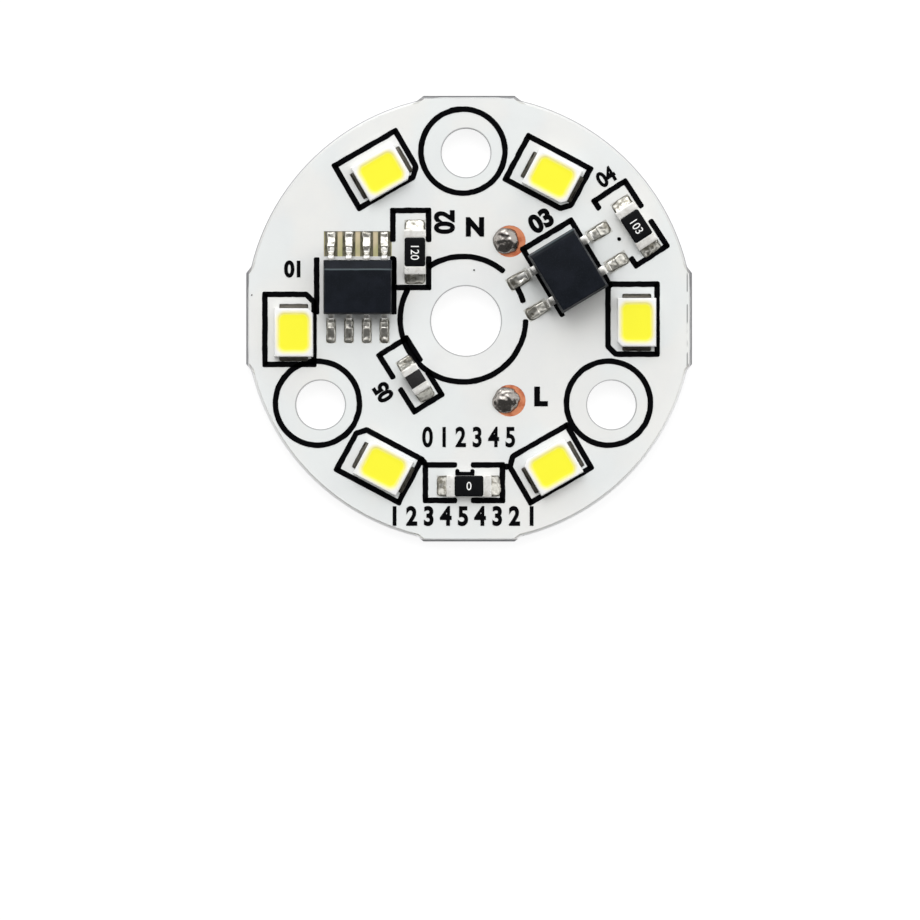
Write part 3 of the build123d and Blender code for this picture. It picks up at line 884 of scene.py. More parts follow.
class Bench:
    """One mesh on the bench, shaped in millimetres with the same tools as by hand."""

    def __init__(self, name: str) -> None:
        """Clears the bench for a piece of that name.

        Args:
            name: The piece's name.
        """
        self.name = name
        self.object: bpy.types.Object | None = None
        bpy.ops.object.select_all(action="DESELECT")

    def _take(self) -> "Bench":
        """Takes the object that an operator has just added.

        Returns:
            The bench.
        """
        self.object = bpy.context.object
        self.object.name = self.name
        bpy.ops.object.transform_apply(location=True, rotation=True, scale=True)
        return self

    def block(self, start: float, end: float, width: float, low: float, high: float) -> "Bench":
        """Starts from a block that is centred across the x axis.

        Args:
            start: Where it starts along x.
            end: Where it ends along x.
            width: Its size along y.
            low: Its lower level.
            high: Its upper level.

        Returns:
            The bench.
        """
        place = ((start + end) / 2, 0.0, (low + high) / 2)
        bpy.ops.mesh.primitive_cube_add(size=1, location=place, scale=(end - start, width, high - low))
        return self._take()

    def sheet(self, length: float, width: float, level: float = 0.0) -> "Bench":
        """Starts from a level rectangle round the z axis.

        Args:
            length: Its size along x.
            width: Its size along y.
            level: Its level.

        Returns:
            The bench.
        """
        bpy.ops.mesh.primitive_plane_add(size=1, location=(0.0, 0.0, level))
        bpy.context.object.scale = (length, width, 1.0)
        return self._take()

    def section(self, width: float, height: float, x: float, level: float) -> "Bench":
        """Starts from an upright rectangle that faces along x, its centre at that level.

        Args:
            width: Its size along y.
            height: Its size along z.
            x: Its place along x.
            level: Its level.

        Returns:
            The bench.
        """
        place = (x, 0.0, level)
        bpy.ops.mesh.primitive_plane_add(size=1, location=place, rotation=(0.0, math.pi / 2, 0.0))
        return self._take().pick(Pick.FACES).resize((1.0, width, height), place)

    def disc(self, radius: float, sides: int) -> "Bench":
        """Starts from a level disc at the origin."""
        bpy.ops.mesh.primitive_circle_add(vertices=sides, radius=radius, fill_type="NGON")
        return self._take()

    def ball(self, radius: float) -> "Bench":
        """Starts from a ball at the origin."""
        bpy.ops.mesh.primitive_ico_sphere_add(subdivisions=5, radius=radius)
        return self._take()

    def pick(self, kind: Pick, test: Test | None = None) -> "Bench":
        """Selects by place and direction.

        Args:
            kind: Points, edges or faces.
            test: Takes a place and a normal, or an edge's direction; everything if left out.

        Returns:
            The bench.
        """
        mesh = self.object.data
        for items in (mesh.vertices, mesh.edges, mesh.polygons):
            items.foreach_set("select", [False] * len(items))
        if kind is Pick.FACES:
            found = [(face, face.center, face.normal) for face in mesh.polygons]
        elif kind is Pick.POINTS:
            found = [(point, point.co, point.normal) for point in mesh.vertices]
        else:
            ends = [[mesh.vertices[index].co for index in edge.vertices] for edge in mesh.edges]
            found = [(edge, (a + b) / 2, (b - a).normalized()) for edge, (a, b) in zip(mesh.edges, ends)]
        for item, place, way in found:
            item.select = test is None or test(place, way)
        bpy.context.tool_settings.mesh_select_mode = kind.value
        return self

    def ends(self) -> "Bench":
        """Selects the points that only one face uses, as at the ends of a flat strip.

        Returns:
            The bench.
        """
        mesh = self.object.data
        uses = [0] * len(mesh.vertices)
        for face in mesh.polygons:
            for index in face.vertices:
                uses[index] += 1
        self.pick(Pick.POINTS)
        for point, count in zip(mesh.vertices, uses):
            point.select = count == 1
        for items in (mesh.edges, mesh.polygons):
            items.foreach_set("select", [False] * len(items))
        return self

    def hold(self) -> None:
        """Makes this piece the only one that is selected."""
        bpy.ops.object.select_all(action="DESELECT")
        self.object.select_set(True)
        bpy.context.view_layer.objects.active = self.object

    def edit(self, step: Callable[..., set[str]], **settings: object) -> "Bench":
        """Runs one edit-mode operator on what is selected.

        Args:
            step: The operator.
            **settings: Its settings.

        Returns:
            The bench.
        """
        self.hold()
        bpy.ops.object.mode_set(mode="EDIT")
        step(**settings)
        bpy.ops.object.mode_set(mode="OBJECT")
        return self

    def extrude(self, x: float, y: float, z: float) -> "Bench":
        """Extrudes the selection."""
        return self.edit(bpy.ops.mesh.extrude_region_move, TRANSFORM_OT_translate={"value": (x, y, z)})

    def inset(self, width: float, rise: float = 0.0) -> "Bench":
        """Insets the selected faces and lifts them."""
        return self.edit(bpy.ops.mesh.inset, thickness=width, depth=rise)

    def resize(self, by: Triple, centre: Triple) -> "Bench":
        """Scales the selection about a centre."""
        return self.edit(bpy.ops.transform.resize, value=by, center_override=centre)

    def shift(self, x: float, y: float, z: float) -> "Bench":
        """Moves the selection."""
        return self.edit(bpy.ops.transform.translate, value=(x, y, z))

    def bevel(self, width: float, segments: int = 3, points: bool = False) -> "Bench":
        """Bevels the selected edges, or points."""
        affect = "VERTICES" if points else "EDGES"
        return self.edit(bpy.ops.mesh.bevel, offset=width, segments=segments, affect=affect)

    def cut(self, at: Triple, facing: Triple, whole: bool = False) -> "Bench":
        """Cuts everything along a plane.

        Args:
            at: A point of the plane.
            facing: The plane's normal; what lies on that side goes.
            whole: Whether both sides stay and only the edge is drawn.

        Returns:
            The bench.
        """
        self.pick(Pick.FACES)
        settings = {"use_fill": not whole, "clear_outer": not whole}
        return self.edit(bpy.ops.mesh.bisect, plane_co=at, plane_no=facing, **settings)

    def trim(self, level: float, over: float = 70.0) -> "Bench":
        """Cuts off what lies below a level and shades the rest smooth, as smooth does."""
        return self.cut((0.0, 0.0, level), (0.0, 0.0, -1.0)).smooth(over)

    def score(self, side: int, at: float) -> "Bench":
        """Draws a line across a flat piece, square to the x axis for side 0 or to the y axis for 1."""
        way = (1.0 - side, float(side), 0.0)
        return self.cut((way[0] * at, way[1] * at, 0.0), way, whole=True)

    def slices(self, sizes: Pair, count: int) -> "Bench":
        """Draws evenly spaced lines across a flat piece.

        Args:
            sizes: What the lines divide along x and along y, 0 for no lines.
            count: How many parts they make.

        Returns:
            The bench.
        """
        for number in range(1, count):
            for side, size in enumerate(sizes):
                if size:
                    self.score(side, number * size / count - size / 2)
        return self

    def bend(self, x: float, level: float, turn: float, steps: int = 4) -> "Bench":
        """Turns the selected end by degrees, positive downwards, about an axis across the strip."""
        settings = {"steps": steps, "dupli": False, "angle": -math.radians(turn)}
        return self.edit(bpy.ops.mesh.spin, center=(x, 0.0, level), axis=(0.0, 1.0, 0.0), **settings)

    def clear(self, low: Pair, high: Pair) -> "Bench":
        """Takes a rectangle out of a flat piece, from its low corner to its high corner.

        Args:
            low: The low corner.
            high: The high corner.

        Returns:
            The bench.
        """
        for side in (0, 1):
            for at in (low[side], high[side]):
                self.score(side, at)

        def inside(place: Vector, _: Vector) -> bool:
            """Whether a face lies in the rectangle."""
            return low[0] < place.x < high[0] and low[1] < place.y < high[1]

        return self.pick(Pick.FACES, inside).edit(bpy.ops.mesh.delete, type="FACE")

    def modify(self, kind: str, **settings: object) -> "Bench":
        """Adds a modifier and applies it.

        Args:
            kind: The modifier's type.
            **settings: Its settings.

        Returns:
            The bench.
        """
        modifier = self.object.modifiers.new(kind.lower(), kind)
        for key, value in settings.items():
            setattr(modifier, key, value)
        self.hold()
        bpy.ops.object.modifier_apply(modifier=modifier.name)
        return self

    def soften(self, width: float, segments: int = 2, over: float = 40.0) -> "Bench":
        """Rounds every edge that is sharper than an angle in degrees."""
        settings = {"limit_method": "ANGLE", "angle_limit": math.radians(over)}
        return self.modify("BEVEL", width=width, segments=segments, **settings)

    def fuse(self, voxel: float, passes: int = 3) -> "Bench":
        """Fuses what overlaps into one skin and relaxes it."""
        self.modify("REMESH", mode="VOXEL", voxel_size=voxel)
        return self.modify("SMOOTH", factor=0.5, iterations=passes)

    def lumps(self, size: float, height: float, ways: Sequence[str] = ("NORMAL",)) -> "Bench":
        """Displaces the piece by smooth noise.

        Args:
            size: The lumps' size.
            height: From the deepest to the highest.
            ways: The directions of the moves.

        Returns:
            The bench.
        """
        for way in ways:
            noise = bpy.data.textures.new(f"{self.name}_{way}", "CLOUDS")
            noise.noise_scale = size
            noise.noise_depth = 1
            strength = height if way != "Y" else -height
            self.modify("DISPLACE", texture=noise, direction=way, strength=strength, mid_level=0.5)
        return self

    def lay(self, place: Matrix) -> "Bench":
        """Moves the whole piece by a matrix."""
        self.object.data.transform(place)
        return self

    def less(self, other: "Bench") -> "Bench":
        """Subtracts another piece, which is used up.

        Args:
            other: The other piece.

        Returns:
            The bench.
        """
        self.modify("BOOLEAN", object=other.object, operation="DIFFERENCE", solver="EXACT")
        other.scrap()
        return self

    def outwards(self) -> "Bench":
        """Merges doubles and turns every face outwards."""
        self.pick(Pick.FACES).edit(bpy.ops.mesh.remove_doubles, threshold=0.0005)
        return self.pick(Pick.FACES).edit(bpy.ops.mesh.normals_make_consistent, inside=False)

    def join(self, *others: "Bench") -> "Bench":
        """Joins other pieces into this one.

        Args:
            *others: The other pieces.

        Returns:
            The bench.
        """
        bpy.ops.object.select_all(action="DESELECT")
        for bench in (*others, self):
            bench.object.select_set(True)
        bpy.context.view_layer.objects.active = self.object
        bpy.ops.object.join()
        return self

    def copy(self, name: str, frames: Sequence[Matrix]) -> "Bench":
        """Copies the piece to each frame and joins the copies.

        Args:
            name: The copies' name.
            frames: Their places on the board.

        Returns:
            A bench with the joined copies.
        """
        copies = []
        for place in frames:
            bench = Bench(name)
            bench.object = bpy.data.objects.new(name, self.object.data.copy())
            bpy.context.collection.objects.link(bench.object)
            copies.append(bench.lay(place))
        first, *rest = copies
        return first.join(*rest) if rest else first

    def scrap(self) -> None:
        """Removes a piece that has done its work."""
        bpy.data.objects.remove(self.object)

    def smooth(self, over: float = 35.0) -> "Bench":
        """Shades smooth where faces meet at less than an angle in degrees.

        Args:
            over: The angle.

        Returns:
            The bench.
        """
        self.hold()
        bpy.ops.object.shade_smooth_by_angle(angle=math.radians(over))
        return self

    def deliver(self, finish: Finish, slot: str, *nodes: str) -> None:
        """Sets the finished piece on the board.

        Args:
            finish: Its finish.
            slot: The record's material slot; not used.
            *nodes: The CAD nodes that it stands for.
        """
        mesh = self.object.data
        mesh.transform(Matrix.Scale(MM, 4))
        mesh.materials.clear()
        mesh.materials.append(finish.material())
        self.object.name = self.name
        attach(self.object, BODY)
        if nodes:
            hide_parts(*nodes)
        LOG.info("%s: %d faces, %s", self.name, len(mesh.polygons), finish.title)


@dataclass(frozen=True)
class Levels:
    """Heights of the board's layers, in millimetres."""

    pad: float
    mask: float
    seat: float
    ink: float

    @classmethod
    def read(cls) -> "Levels":
        """Reads the heights from the CAD nodes.

        Returns:
            The levels.
        """
        return cls(
            pad=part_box("copper_tracks")[1].z / MM,
            mask=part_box("solder_mask")[1].z / MM,
            seat=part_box("led_1_leads")[0].z / MM,
            ink=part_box("legend_print")[1].z / MM,
        )


@dataclass(frozen=True)
class Seat:
    """Where a component sits: the middle of its CAD node, its turn and its levels in millimetres."""

    x: float
    y: float
    turn: float
    low: float
    high: float

    @classmethod
    def of(cls, node: str, turn: float = 0.0) -> "Seat":
        """Reads a seat from a CAD node, for a component with that turn in degrees."""
        low, high = (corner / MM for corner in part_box(node))
        return cls((low.x + high.x) / 2, (low.y + high.y) / 2, turn, low.z, high.z)

    def frame(self, level: float = 0.0, turn: float = 0.0, across: float = 0.0) -> Matrix:
        """Matrix to the board's millimetres from the component's own, turned further and shifted across."""
        return stand((self.x, self.y), level, self.turn + turn) @ Matrix.Translation((0.0, across, 0.0))


def mound(
    pad: float,
    width: float,
    corner: float,
    steps: Sequence[Pair],
    neck: float = 1.0,
) -> Bench:
    """A film of solder that covers a pad and swells towards its middle.

    Args:
        pad: The pad's length.
        width: Its width.
        corner: How round its corners are.
        steps: Pairs of inset and rise, from the rim inwards.
        neck: How wide its inner end is, as a share of the width.

    Returns:
        The bench, with the pad's surface at 0.
    """
    bench = Bench("joint").block(-pad / 2, pad / 2, width, -FILM_ROOT, FILM_RIM)
    bench.pick(Pick.POINTS, lambda place, _: place.x < 0).resize((1.0, neck, 1.0), (0.0, 0.0, 0.0))
    bench.pick(Pick.EDGES, upright).bevel(corner, 4)
    bench.pick(Pick.FACES, up)
    for inwards, rise in steps:
        bench.inset(inwards, rise)
    return bench


# Assemblies


@dataclass
class LedPackages:
    """Six white LEDs: a tapered cup on two lead plates, phosphor gel in the cup, solder at both ends."""

    levels: Levels
    mouth: Mouth = Mouth()
    turns: tuple[float, ...] = (90.0, 152.0, 210.0, 270.0, 332.0, 30.0)
    length: float = 3.5
    width: float = 2.8
    draft: float = 4.0
    mark_cut: float = 0.4
    cup_round: float = 0.04
    plate_t: float = 0.15
    plate_w: float = 1.95
    plate_reach: float = 1.9
    plate_round: float = 0.03
    split_at: float = 0.52
    split_w: float = 0.42
    gel_dip: float = 0.03
    gel_rings: Pair = (0.06, 0.14)
    gel_middle: float = 0.2
    pad_out: float = 2.04
    bead_under: float = 0.06
    bead_side: float = 0.1
    bead_h: float = 0.09
    bead_corner: float = 0.11
    bead_steps: tuple[Pair, ...] = ((0.05, 0.05), (0.04, 0.025))

    def build(self) -> None:
        """Models each piece once and sets a copy of it at each of the six places."""
        seats = [Seat.of(f"led_{number}_phosphor", turn) for number, turn in enumerate(self.turns, start=1)]
        housing = Seat.of("led_1_housing")
        height = housing.high - housing.low
        cup, gel, plates = self.cup(height), self.gel(height), self.plates()
        for number, seat in enumerate(seats, start=1):
            place = seat.frame(self.levels.seat)
            node = f"led_{number}"
            self.mapped(cup, f"{node}_cup", place).smooth().deliver(CupFinish(), "led_cup", f"{node}_housing")
            self.mapped(gel, f"{node}_gel", place).deliver(PhosphorFinish(), "phosphor", f"{node}_phosphor")
            plates.copy(f"{node}_plates", [place]).smooth().deliver(LED_PLATE, "led_lead", f"{node}_leads")
        for pattern in (cup, gel, plates):
            pattern.scrap()
        self.solder(seats)

    def hollow(self, height: float, top: float) -> Bench:
        """The cup's hollow as a solid, from the plates up to a level.

        Args:
            height: The cup's height, where the mouth has its full size.
            top: Where the solid ends.

        Returns:
            The bench.
        """
        slope = math.tan(math.radians(self.mouth.slope))
        shrink = 2 * (height - self.plate_t) * slope
        grow = 2 * (top - height) * slope
        length, width = self.mouth.length + grow, self.mouth.width + grow
        bench = Bench("hollow").sheet(length, width, top)
        bench.pick(Pick.POINTS).bevel(self.mouth.corner, 6, points=True)
        bench.pick(Pick.FACES).extrude(0.0, 0.0, self.plate_t - top)
        floor = ((self.mouth.length - shrink) / length, (self.mouth.width - shrink) / width, 1.0)
        return bench.resize(floor, (0.0, 0.0, self.plate_t)).outwards()

    def cup(self, height: float) -> Bench:
        """The white cup with its tapered sides, hollow and cut corner.

        Args:
            height: The cup's height.

        Returns:
            The bench.
        """
        rise = 2 * height * math.tan(math.radians(self.draft))
        bench = Bench("cup").block(-self.length / 2, self.length / 2, self.width, 0.0, height)
        shrink = ((self.length - rise) / self.length, (self.width - rise) / self.width, 1.0)
        bench.pick(Pick.FACES, up).resize(shrink, (0.0, 0.0, height))
        bench.cut((self.mark_cut - self.length / 2, self.width / 2, 0.0), (-1.0, 1.0, 0.0))
        bench.less(self.hollow(height, height + CUTTER_OVER))
        return bench.outwards().soften(self.cup_round, 3)

    def gel(self, height: float) -> Bench:
        """The phosphor gel, whose surface climbs a little at the wall.

        Args:
            height: The cup's height.

        Returns:
            The bench.
        """
        fall = self.gel_dip / 3
        bench = self.hollow(height, height - fall)
        bench.pick(Pick.FACES, up)
        for inwards in self.gel_rings:
            bench.inset(inwards, -fall)
        return bench.inset(self.gel_middle).smooth(60.0)

    def mapped(self, pattern: Bench, name: str, place: Matrix) -> Bench:
        """A copy of a pattern with a map that holds each point's place in the package, in millimetres.

        Args:
            pattern: The pattern piece.
            name: The copy's name.
            place: Its place on the board.

        Returns:
            A bench with the copy.
        """
        made = pattern.copy(name, [Matrix()])
        mesh = made.object.data
        layer = mesh.uv_layers[0] if mesh.uv_layers else mesh.uv_layers.new(name="cup")
        for loop, corner in zip(mesh.loops, layer.data):
            corner.uv = mesh.vertices[loop.vertex_index].co.xy
        return made.lay(place)

    def plates(self) -> Bench:
        """The two lead plates with their tabs.

        Returns:
            The bench.
        """
        inner, outer = self.split_at - self.split_w / 2, self.split_at + self.split_w / 2
        left, right = [
            Bench("plates").block(start, end, self.plate_w, 0.0, self.plate_t).soften(self.plate_round)
            for start, end in ((-self.plate_reach, inner), (outer, self.plate_reach))
        ]
        return left.join(right)

    def solder(self, seats: Sequence[Seat]) -> None:
        """A bead along each tab.

        Args:
            seats: The LEDs' seats.
        """
        start, width = self.length / 2 - self.bead_under, self.plate_w + self.bead_side
        bead = Bench("bead").block(start, self.pad_out, width, -FILM_ROOT, self.bead_h)
        bead.pick(Pick.EDGES, upright).bevel(self.bead_corner, 3)
        bead.pick(Pick.FACES, up)
        for inwards, rise in self.bead_steps:
            bead.inset(inwards, rise)
        bead.fuse(0.03, 4)
        frames = [seat.frame(self.levels.pad, turn) for seat in seats for turn in HALF_TURNS]
        joints = bead.copy("led_joints", frames).lumps(0.35, 0.06)
        bead.scrap()
        joints.trim(self.levels.pad, 60.0).deliver(LED_BEAD, "solder", "led_solder")


@dataclass
class GullWingChip:
    """A moulded chip on gull-wing leads: body, leads and solder joints.

    Lengths are along x and widths along y, across the two rows. What is given for a lead, its knee, slope,
    reach and pad, is counted outwards from the body's middle or side.
    """

    name: str
    seat: Seat
    levels: Levels
    length: float
    width: float
    parting: float
    draft: float
    bevel_at: Triple
    bevel_way: Triple
    pitch: float
    lead_count: int
    lead_w: float
    lead_t: float
    knee: float
    slope_run: float
    reach: float
    pad_in: float
    pad_out: float
    pad_w: float
    finish: MouldingFinish
    necks: Pair
    body_round: float = 0.07
    lead_root: float = 0.25
    lead_round: float = 0.035
    film_steps: tuple[Pair, ...] = ((0.3, 0.04), (0.35, 0.04), (0.25, 0.03))
    hump_side: float = 0.06
    hump_over: float = 0.05
    tip_w: float = 0.76
    tip_span: Pair = (-0.09, 0.41)
    tip_over: float = 0.04
    tip_run: float = 0.16
    tip_fall: float = 0.09

    def frames(self, level: float, rows: Sequence[float] = ROWS) -> list[Matrix]:
        """One frame for each lead, its x axis pointing away from the body.

        Args:
            level: Height of the origin.
            rows: Which rows, by their turn in degrees.

        Returns:
            The frames.
        """
        middle = (self.lead_count - 1) / 2
        offsets = [(number - middle) * self.pitch for number in range(self.lead_count)]
        return [self.seat.frame(level, turn, offset) for turn in rows for offset in offsets]

    def build(self) -> None:
        """Builds body, leads and joints."""
        self.body()
        self.leads()
        self.joints()

    def body(self) -> None:
        """The body: two halves that taper from the parting line, and a bevel along one top edge."""
        low, high = self.seat.low, self.seat.high
        bench = Bench(f"{self.name}_moulding").block(-self.length / 2, self.length / 2, self.width, low, high)
        bench.cut((0.0, 0.0, self.parting), (0.0, 0.0, 1.0), whole=True)
        for level in (low, high):
            rise = 2 * abs(level - self.parting) * math.tan(math.radians(self.draft))
            by = ((self.length - rise) / self.length, (self.width - rise) / self.width, 1.0)
            bench.pick(Pick.FACES, level_at(level)).resize(by, (0.0, 0.0, level))
        bench.cut(self.bevel_at, self.bevel_way)
        bench.soften(self.body_round, 3, over=15.0).lay(self.seat.frame())
        bench.smooth(12.0).deliver(self.finish, "moulding", f"{self.name}_body")

    def leads(self) -> None:
        """The leads: straight out, down through two bends and flat along the pad."""
        rest = self.levels.seat + self.lead_t / 2
        drop = self.parting - rest
        angle = math.atan2(drop, self.slope_run)
        tangent = self.lead_t * math.tan(angle / 2)
        run = math.hypot(drop, self.slope_run) - 2 * tangent
        start = self.width / 2 - self.lead_root
        knee = self.width / 2 + self.knee - tangent
        foot = self.width / 2 + self.knee + self.slope_run + tangent
        lead = Bench("lead").section(self.lead_w, self.lead_t, start, self.parting)
        lead.extrude(knee - start, 0.0, 0.0)
        lead.bend(knee, self.parting - self.lead_t, math.degrees(angle))
        lead.extrude(math.cos(angle) * run, 0.0, -math.sin(angle) * run)
        lead.bend(foot, rest + self.lead_t, -math.degrees(angle))
        lead.extrude(self.reach - foot, 0.0, 0.0)
        lead.outwards().soften(self.lead_round)
        leads = lead.copy(f"{self.name}_gull_wings", self.frames(0.0))
        lead.scrap()
        leads.smooth(30.0).deliver(TinFinish(), "tinned_lead", f"{self.name}_leads")

    def joint(self, neck: float) -> Bench:
        """One solder joint: a film over the pad, a hump over the foot and a fillet up its tip.

        Args:
            neck: How wide the film's inner end is, as a share of the pad.

        Returns:
            The bench, in the lead's own frame.
        """
        corner = self.pad_w * min(0.36, neck * 0.42)
        steps = [(corner * share, rise) for share, rise in self.film_steps]
        joint = mound(self.pad_out - self.pad_in, self.pad_w, corner, steps, neck)
        joint.lay(stand(((self.pad_in + self.pad_out) / 2, 0.0), 0.0))
        foot = self.width / 2 + self.knee + self.slope_run
        over = self.hump_over + self.lead_t
        hump = Bench("joint").block(foot, self.reach, self.lead_w + self.hump_side, -HUMP_ROOT, over)
        start, end = (self.reach + offset for offset in self.tip_span)
        tip = Bench("joint").block(start, end, self.pad_w * self.tip_w, -HUMP_ROOT, over + self.tip_over)
        tip.pick(Pick.POINTS, lambda place, _: place.x > self.reach and place.z > 0.0)
        tip.shift(self.tip_run, 0.0, self.tip_fall - over)
        return joint.join(hump, tip).fuse(0.035, 6)

    def joints(self) -> None:
        """Copies a joint to each pad, one pattern for each row."""
        rows = []
        for turn, neck in zip(ROWS, self.necks):
            pattern = self.joint(neck)
            rows.append(pattern.copy(f"{self.name}_joints", self.frames(self.levels.pad, (turn,))))
            pattern.scrap()
        joints = rows[0].join(rows[1]).lumps(0.5, 0.11).lumps(0.24, 0.05, FLAT_WAYS)
        joints.trim(self.levels.pad).deliver(SolderFinish(), "solder", f"{self.name}_solder")


@dataclass
class EndCappedChip:
    """A chip part with a cap at each end: a resistor with its coat, or a layered capacitor.

    The sizes are those of a 1206 resistor. Its coat, where it has one, is given by length and width.
    """

    name: str
    seat: Seat
    levels: Levels
    length: float = 3.2
    width: float = 1.57
    height: float = 0.58
    cap_l: float = 0.52
    cap_t: float = 0.04
    corner: float = 0.06
    core: CeramicFinish = CeramicFinish()
    core_slot: str = "alumina"
    core_round: float = 0.03
    pad_in: float = 1.0
    pad_out: float = 2.3
    pad_w: float = 1.5
    film_corner: float = 0.32
    film_steps: tuple[Pair, ...] = ((0.06, 0.04), (0.1, 0.03), (0.12, 0.03))
    climb_share: float = 0.78
    fillet_run: float = 0.8
    fillet_w: float = 0.86
    fillet_under: float = 0.02
    fillet_rim: float = 0.12
    coat: Pair | None = None
    coat_t: float = 0.02
    coat_root: float = 0.01
    coat_corner: float = 0.16
    coat_steps: tuple[Pair, ...] = ((0.04, 0.018), (0.05, 0.008), (0.05, 0.004))
    code: str = ""
    code_turn: float = 0.0
    code_size: float = 0.85
    code_t: float = 0.012
    code_bite: float = 0.003

    def build(self) -> None:
        """Builds the core, the two caps and, on a resistor, the coat with its value."""
        low = self.levels.seat
        half = self.length / 2 - self.cap_t
        top = low + self.height - self.cap_t
        width = self.width - 2 * self.cap_t
        block = Bench(f"{self.name}_block").block(-half, half, width, low + self.cap_t, top)
        block.soften(self.core_round).lay(self.seat.frame())
        block.smooth().deliver(self.core, self.core_slot, f"{self.name}_core")
        cap = self.cap()
        caps = cap.copy(f"{self.name}_ends", self.frames(low))
        cap.scrap()
        caps.lumps(0.3, 0.03).smooth(50.0).deliver(END_CAP, "end_cap", f"{self.name}_caps")
        if self.coat:
            self.glaze(*self.coat, top)

    def frames(self, level: float) -> list[Matrix]:
        """One frame for each end at a level, its x axis pointing away from the chip."""
        return [self.seat.frame(level, turn) for turn in HALF_TURNS]

    def cap(self) -> Bench:
        """One cap, hollow towards the core, with well rounded edges.

        Returns:
            The bench.
        """
        start = self.length / 2 - self.cap_l
        cap = Bench("cap").block(start, self.length / 2, self.width, 0.0, self.height)
        cap.pick(Pick.EDGES, lambda place, _: place.x > start + NEAR).bevel(self.corner, 4)
        cap.pick(Pick.FACES, lambda _, way: way.x < -STEEP).inset(self.cap_t)
        cap.extrude(self.cap_l - self.cap_t, 0.0, 0.0)
        return cap.modify("SUBSURF", subdivision_type="SIMPLE", levels=2, render_levels=2)

    def glaze(self, length: float, width: float, level: float) -> None:
        """The black coat, crowned and soft at its rim, with its value in white.

        Args:
            length: The coat's length.
            width: Its width.
            level: Where it lies on the core.
        """
        rim = level + self.coat_t
        coat = Bench(f"{self.name}_glaze").block(-length / 2, length / 2, width, level - self.coat_root, rim)
        coat.pick(Pick.EDGES, upright).bevel(self.coat_corner, 4)
        coat.pick(Pick.FACES, up)
        for inwards, rise in self.coat_steps:
            coat.inset(inwards, rise)
        coat.lay(self.seat.frame()).smooth(60.0).deliver(CoatFinish(), "coat", f"{self.name}_coat")
        crown = rim + sum(rise for _, rise in self.coat_steps)
        mark = Lettering(f"{self.name}_value", self.code, self.code_size, squeeze=0.92)
        printed = mark.build(self.seat.frame(crown - self.code_bite, self.code_turn), self.code_t)
        printed.deliver(WhiteInkFinish(), "ink")

    def joint(self) -> Bench:
        """One solder joint in the frame of its end: film, fillet and a soft hump.

        Returns:
            The bench.
        """
        joint = mound(self.pad_out - self.pad_in, self.pad_w, self.film_corner, self.film_steps)
        joint.lay(stand(((self.pad_in + self.pad_out) / 2, 0.0), 0.0))
        end = self.length / 2
        climb = self.height * self.climb_share
        run = (self.pad_out - end) * self.fillet_run
        start = end - self.fillet_under
        fillet = Bench("joint").block(start, start + run, self.pad_w * self.fillet_w, -HUMP_ROOT, climb)
        fillet.pick(Pick.POINTS, lambda place, _: place.x > end and place.z > 0.0)
        fillet.shift(0.0, 0.0, self.fillet_rim - climb)
        return joint.join(fillet).fuse(0.04, 6)


@dataclass
class ChipSolder:
    """The solder joints of a group of chip parts, as one piece."""

    name: str
    node: str
    chips: Sequence[EndCappedChip]
    levels: Levels

    def build(self) -> None:
        """Copies the chips' joint to every end and roughens the lot."""
        joint = self.chips[0].joint()
        frames = [place for chip in self.chips for place in chip.frames(self.levels.pad)]
        joints = joint.copy(self.name, frames)
        joint.scrap()
        joints.lumps(0.5, 0.13).lumps(0.24, 0.05, FLAT_WAYS)
        joints.trim(self.levels.pad).deliver(CHIP_JOINT, "solder", self.node)


@dataclass
class TerminalDome:
    """A frozen drop of solder on a mains pad."""

    name: str
    node: str
    levels: Levels
    swell: float = 1.1

    def build(self) -> None:
        """Flattens, dents and cuts a ball."""
        seat = Seat.of(self.node)
        low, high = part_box(self.node)
        radius = (high.x - low.x) / 2 / MM * self.swell
        dome = Bench(self.name).ball(radius)
        dome.pick(Pick.FACES).resize((1.0, 1.0, (seat.high - seat.low) / radius), (0.0, 0.0, 0.0))
        dome.lay(seat.frame(self.levels.pad)).lumps(0.6, 0.22).lumps(0.25, 0.05)
        dome.trim(self.levels.pad).deliver(TERMINAL_DROP, "solder", self.node)


@dataclass(frozen=True)
class Lettering:
    """Plain lettering: its size, its place and turn, and its stroke weight, width and letter spacing."""

    name: str
    text: str
    size: float
    at: Pair = (0.0, 0.0)
    turn: float = 0.0
    weight: float = 0.0
    squeeze: float = 1.0
    gap: float = 1.0

    def build(self, place: Matrix, thickness: float) -> Bench:
        """Makes the letters a thin solid and sets them down.

        Args:
            place: Where their middle lies.
            thickness: How thick they are.

        Returns:
            The bench.
        """
        bench = Bench(self.name)
        bpy.ops.object.text_add()
        words = bpy.context.object.data
        words.body = self.text
        words.size = self.size
        words.extrude = thickness / 2
        words.offset = self.weight
        words.space_character = self.gap
        words.align_x = "CENTER"
        words.align_y = "CENTER"
        bpy.ops.object.convert(target="MESH")
        bench.object = bpy.context.object
        bench.object.name = self.name
        heights = [point.co.y for point in bench.object.data.vertices]
        centre = Matrix.Translation((0.0, -(min(heights) + max(heights)) / 2, thickness / 2))
        return bench.lay(place @ Matrix.Diagonal((self.squeeze, 1.0, 1.0, 1.0)) @ centre).outwards()


class Side(Enum):
    """The two long sides of a printed frame."""

    LOWER = 0
    UPPER = 1


Gap = tuple[float, float, Side]


def both(start: float, end: float) -> tuple[Gap, ...]:
    """The same gap in both long sides."""
    return ((start, end, Side.LOWER), (start, end, Side.UPPER))


@dataclass(frozen=True)
class Border:
    """A printed frame.

    It has its size between the lines, its place and turn, the cut of its marked corner, gaps by their start,
    end and side, and a rectangle that isn't printed, from its low to its high corner.
    """

    length: float
    width: float
    at: Pair
    turn: float
    mark: float = 0.0
    gaps: tuple[Gap, ...] = ()
    bare: tuple[Pair, Pair] | None = None


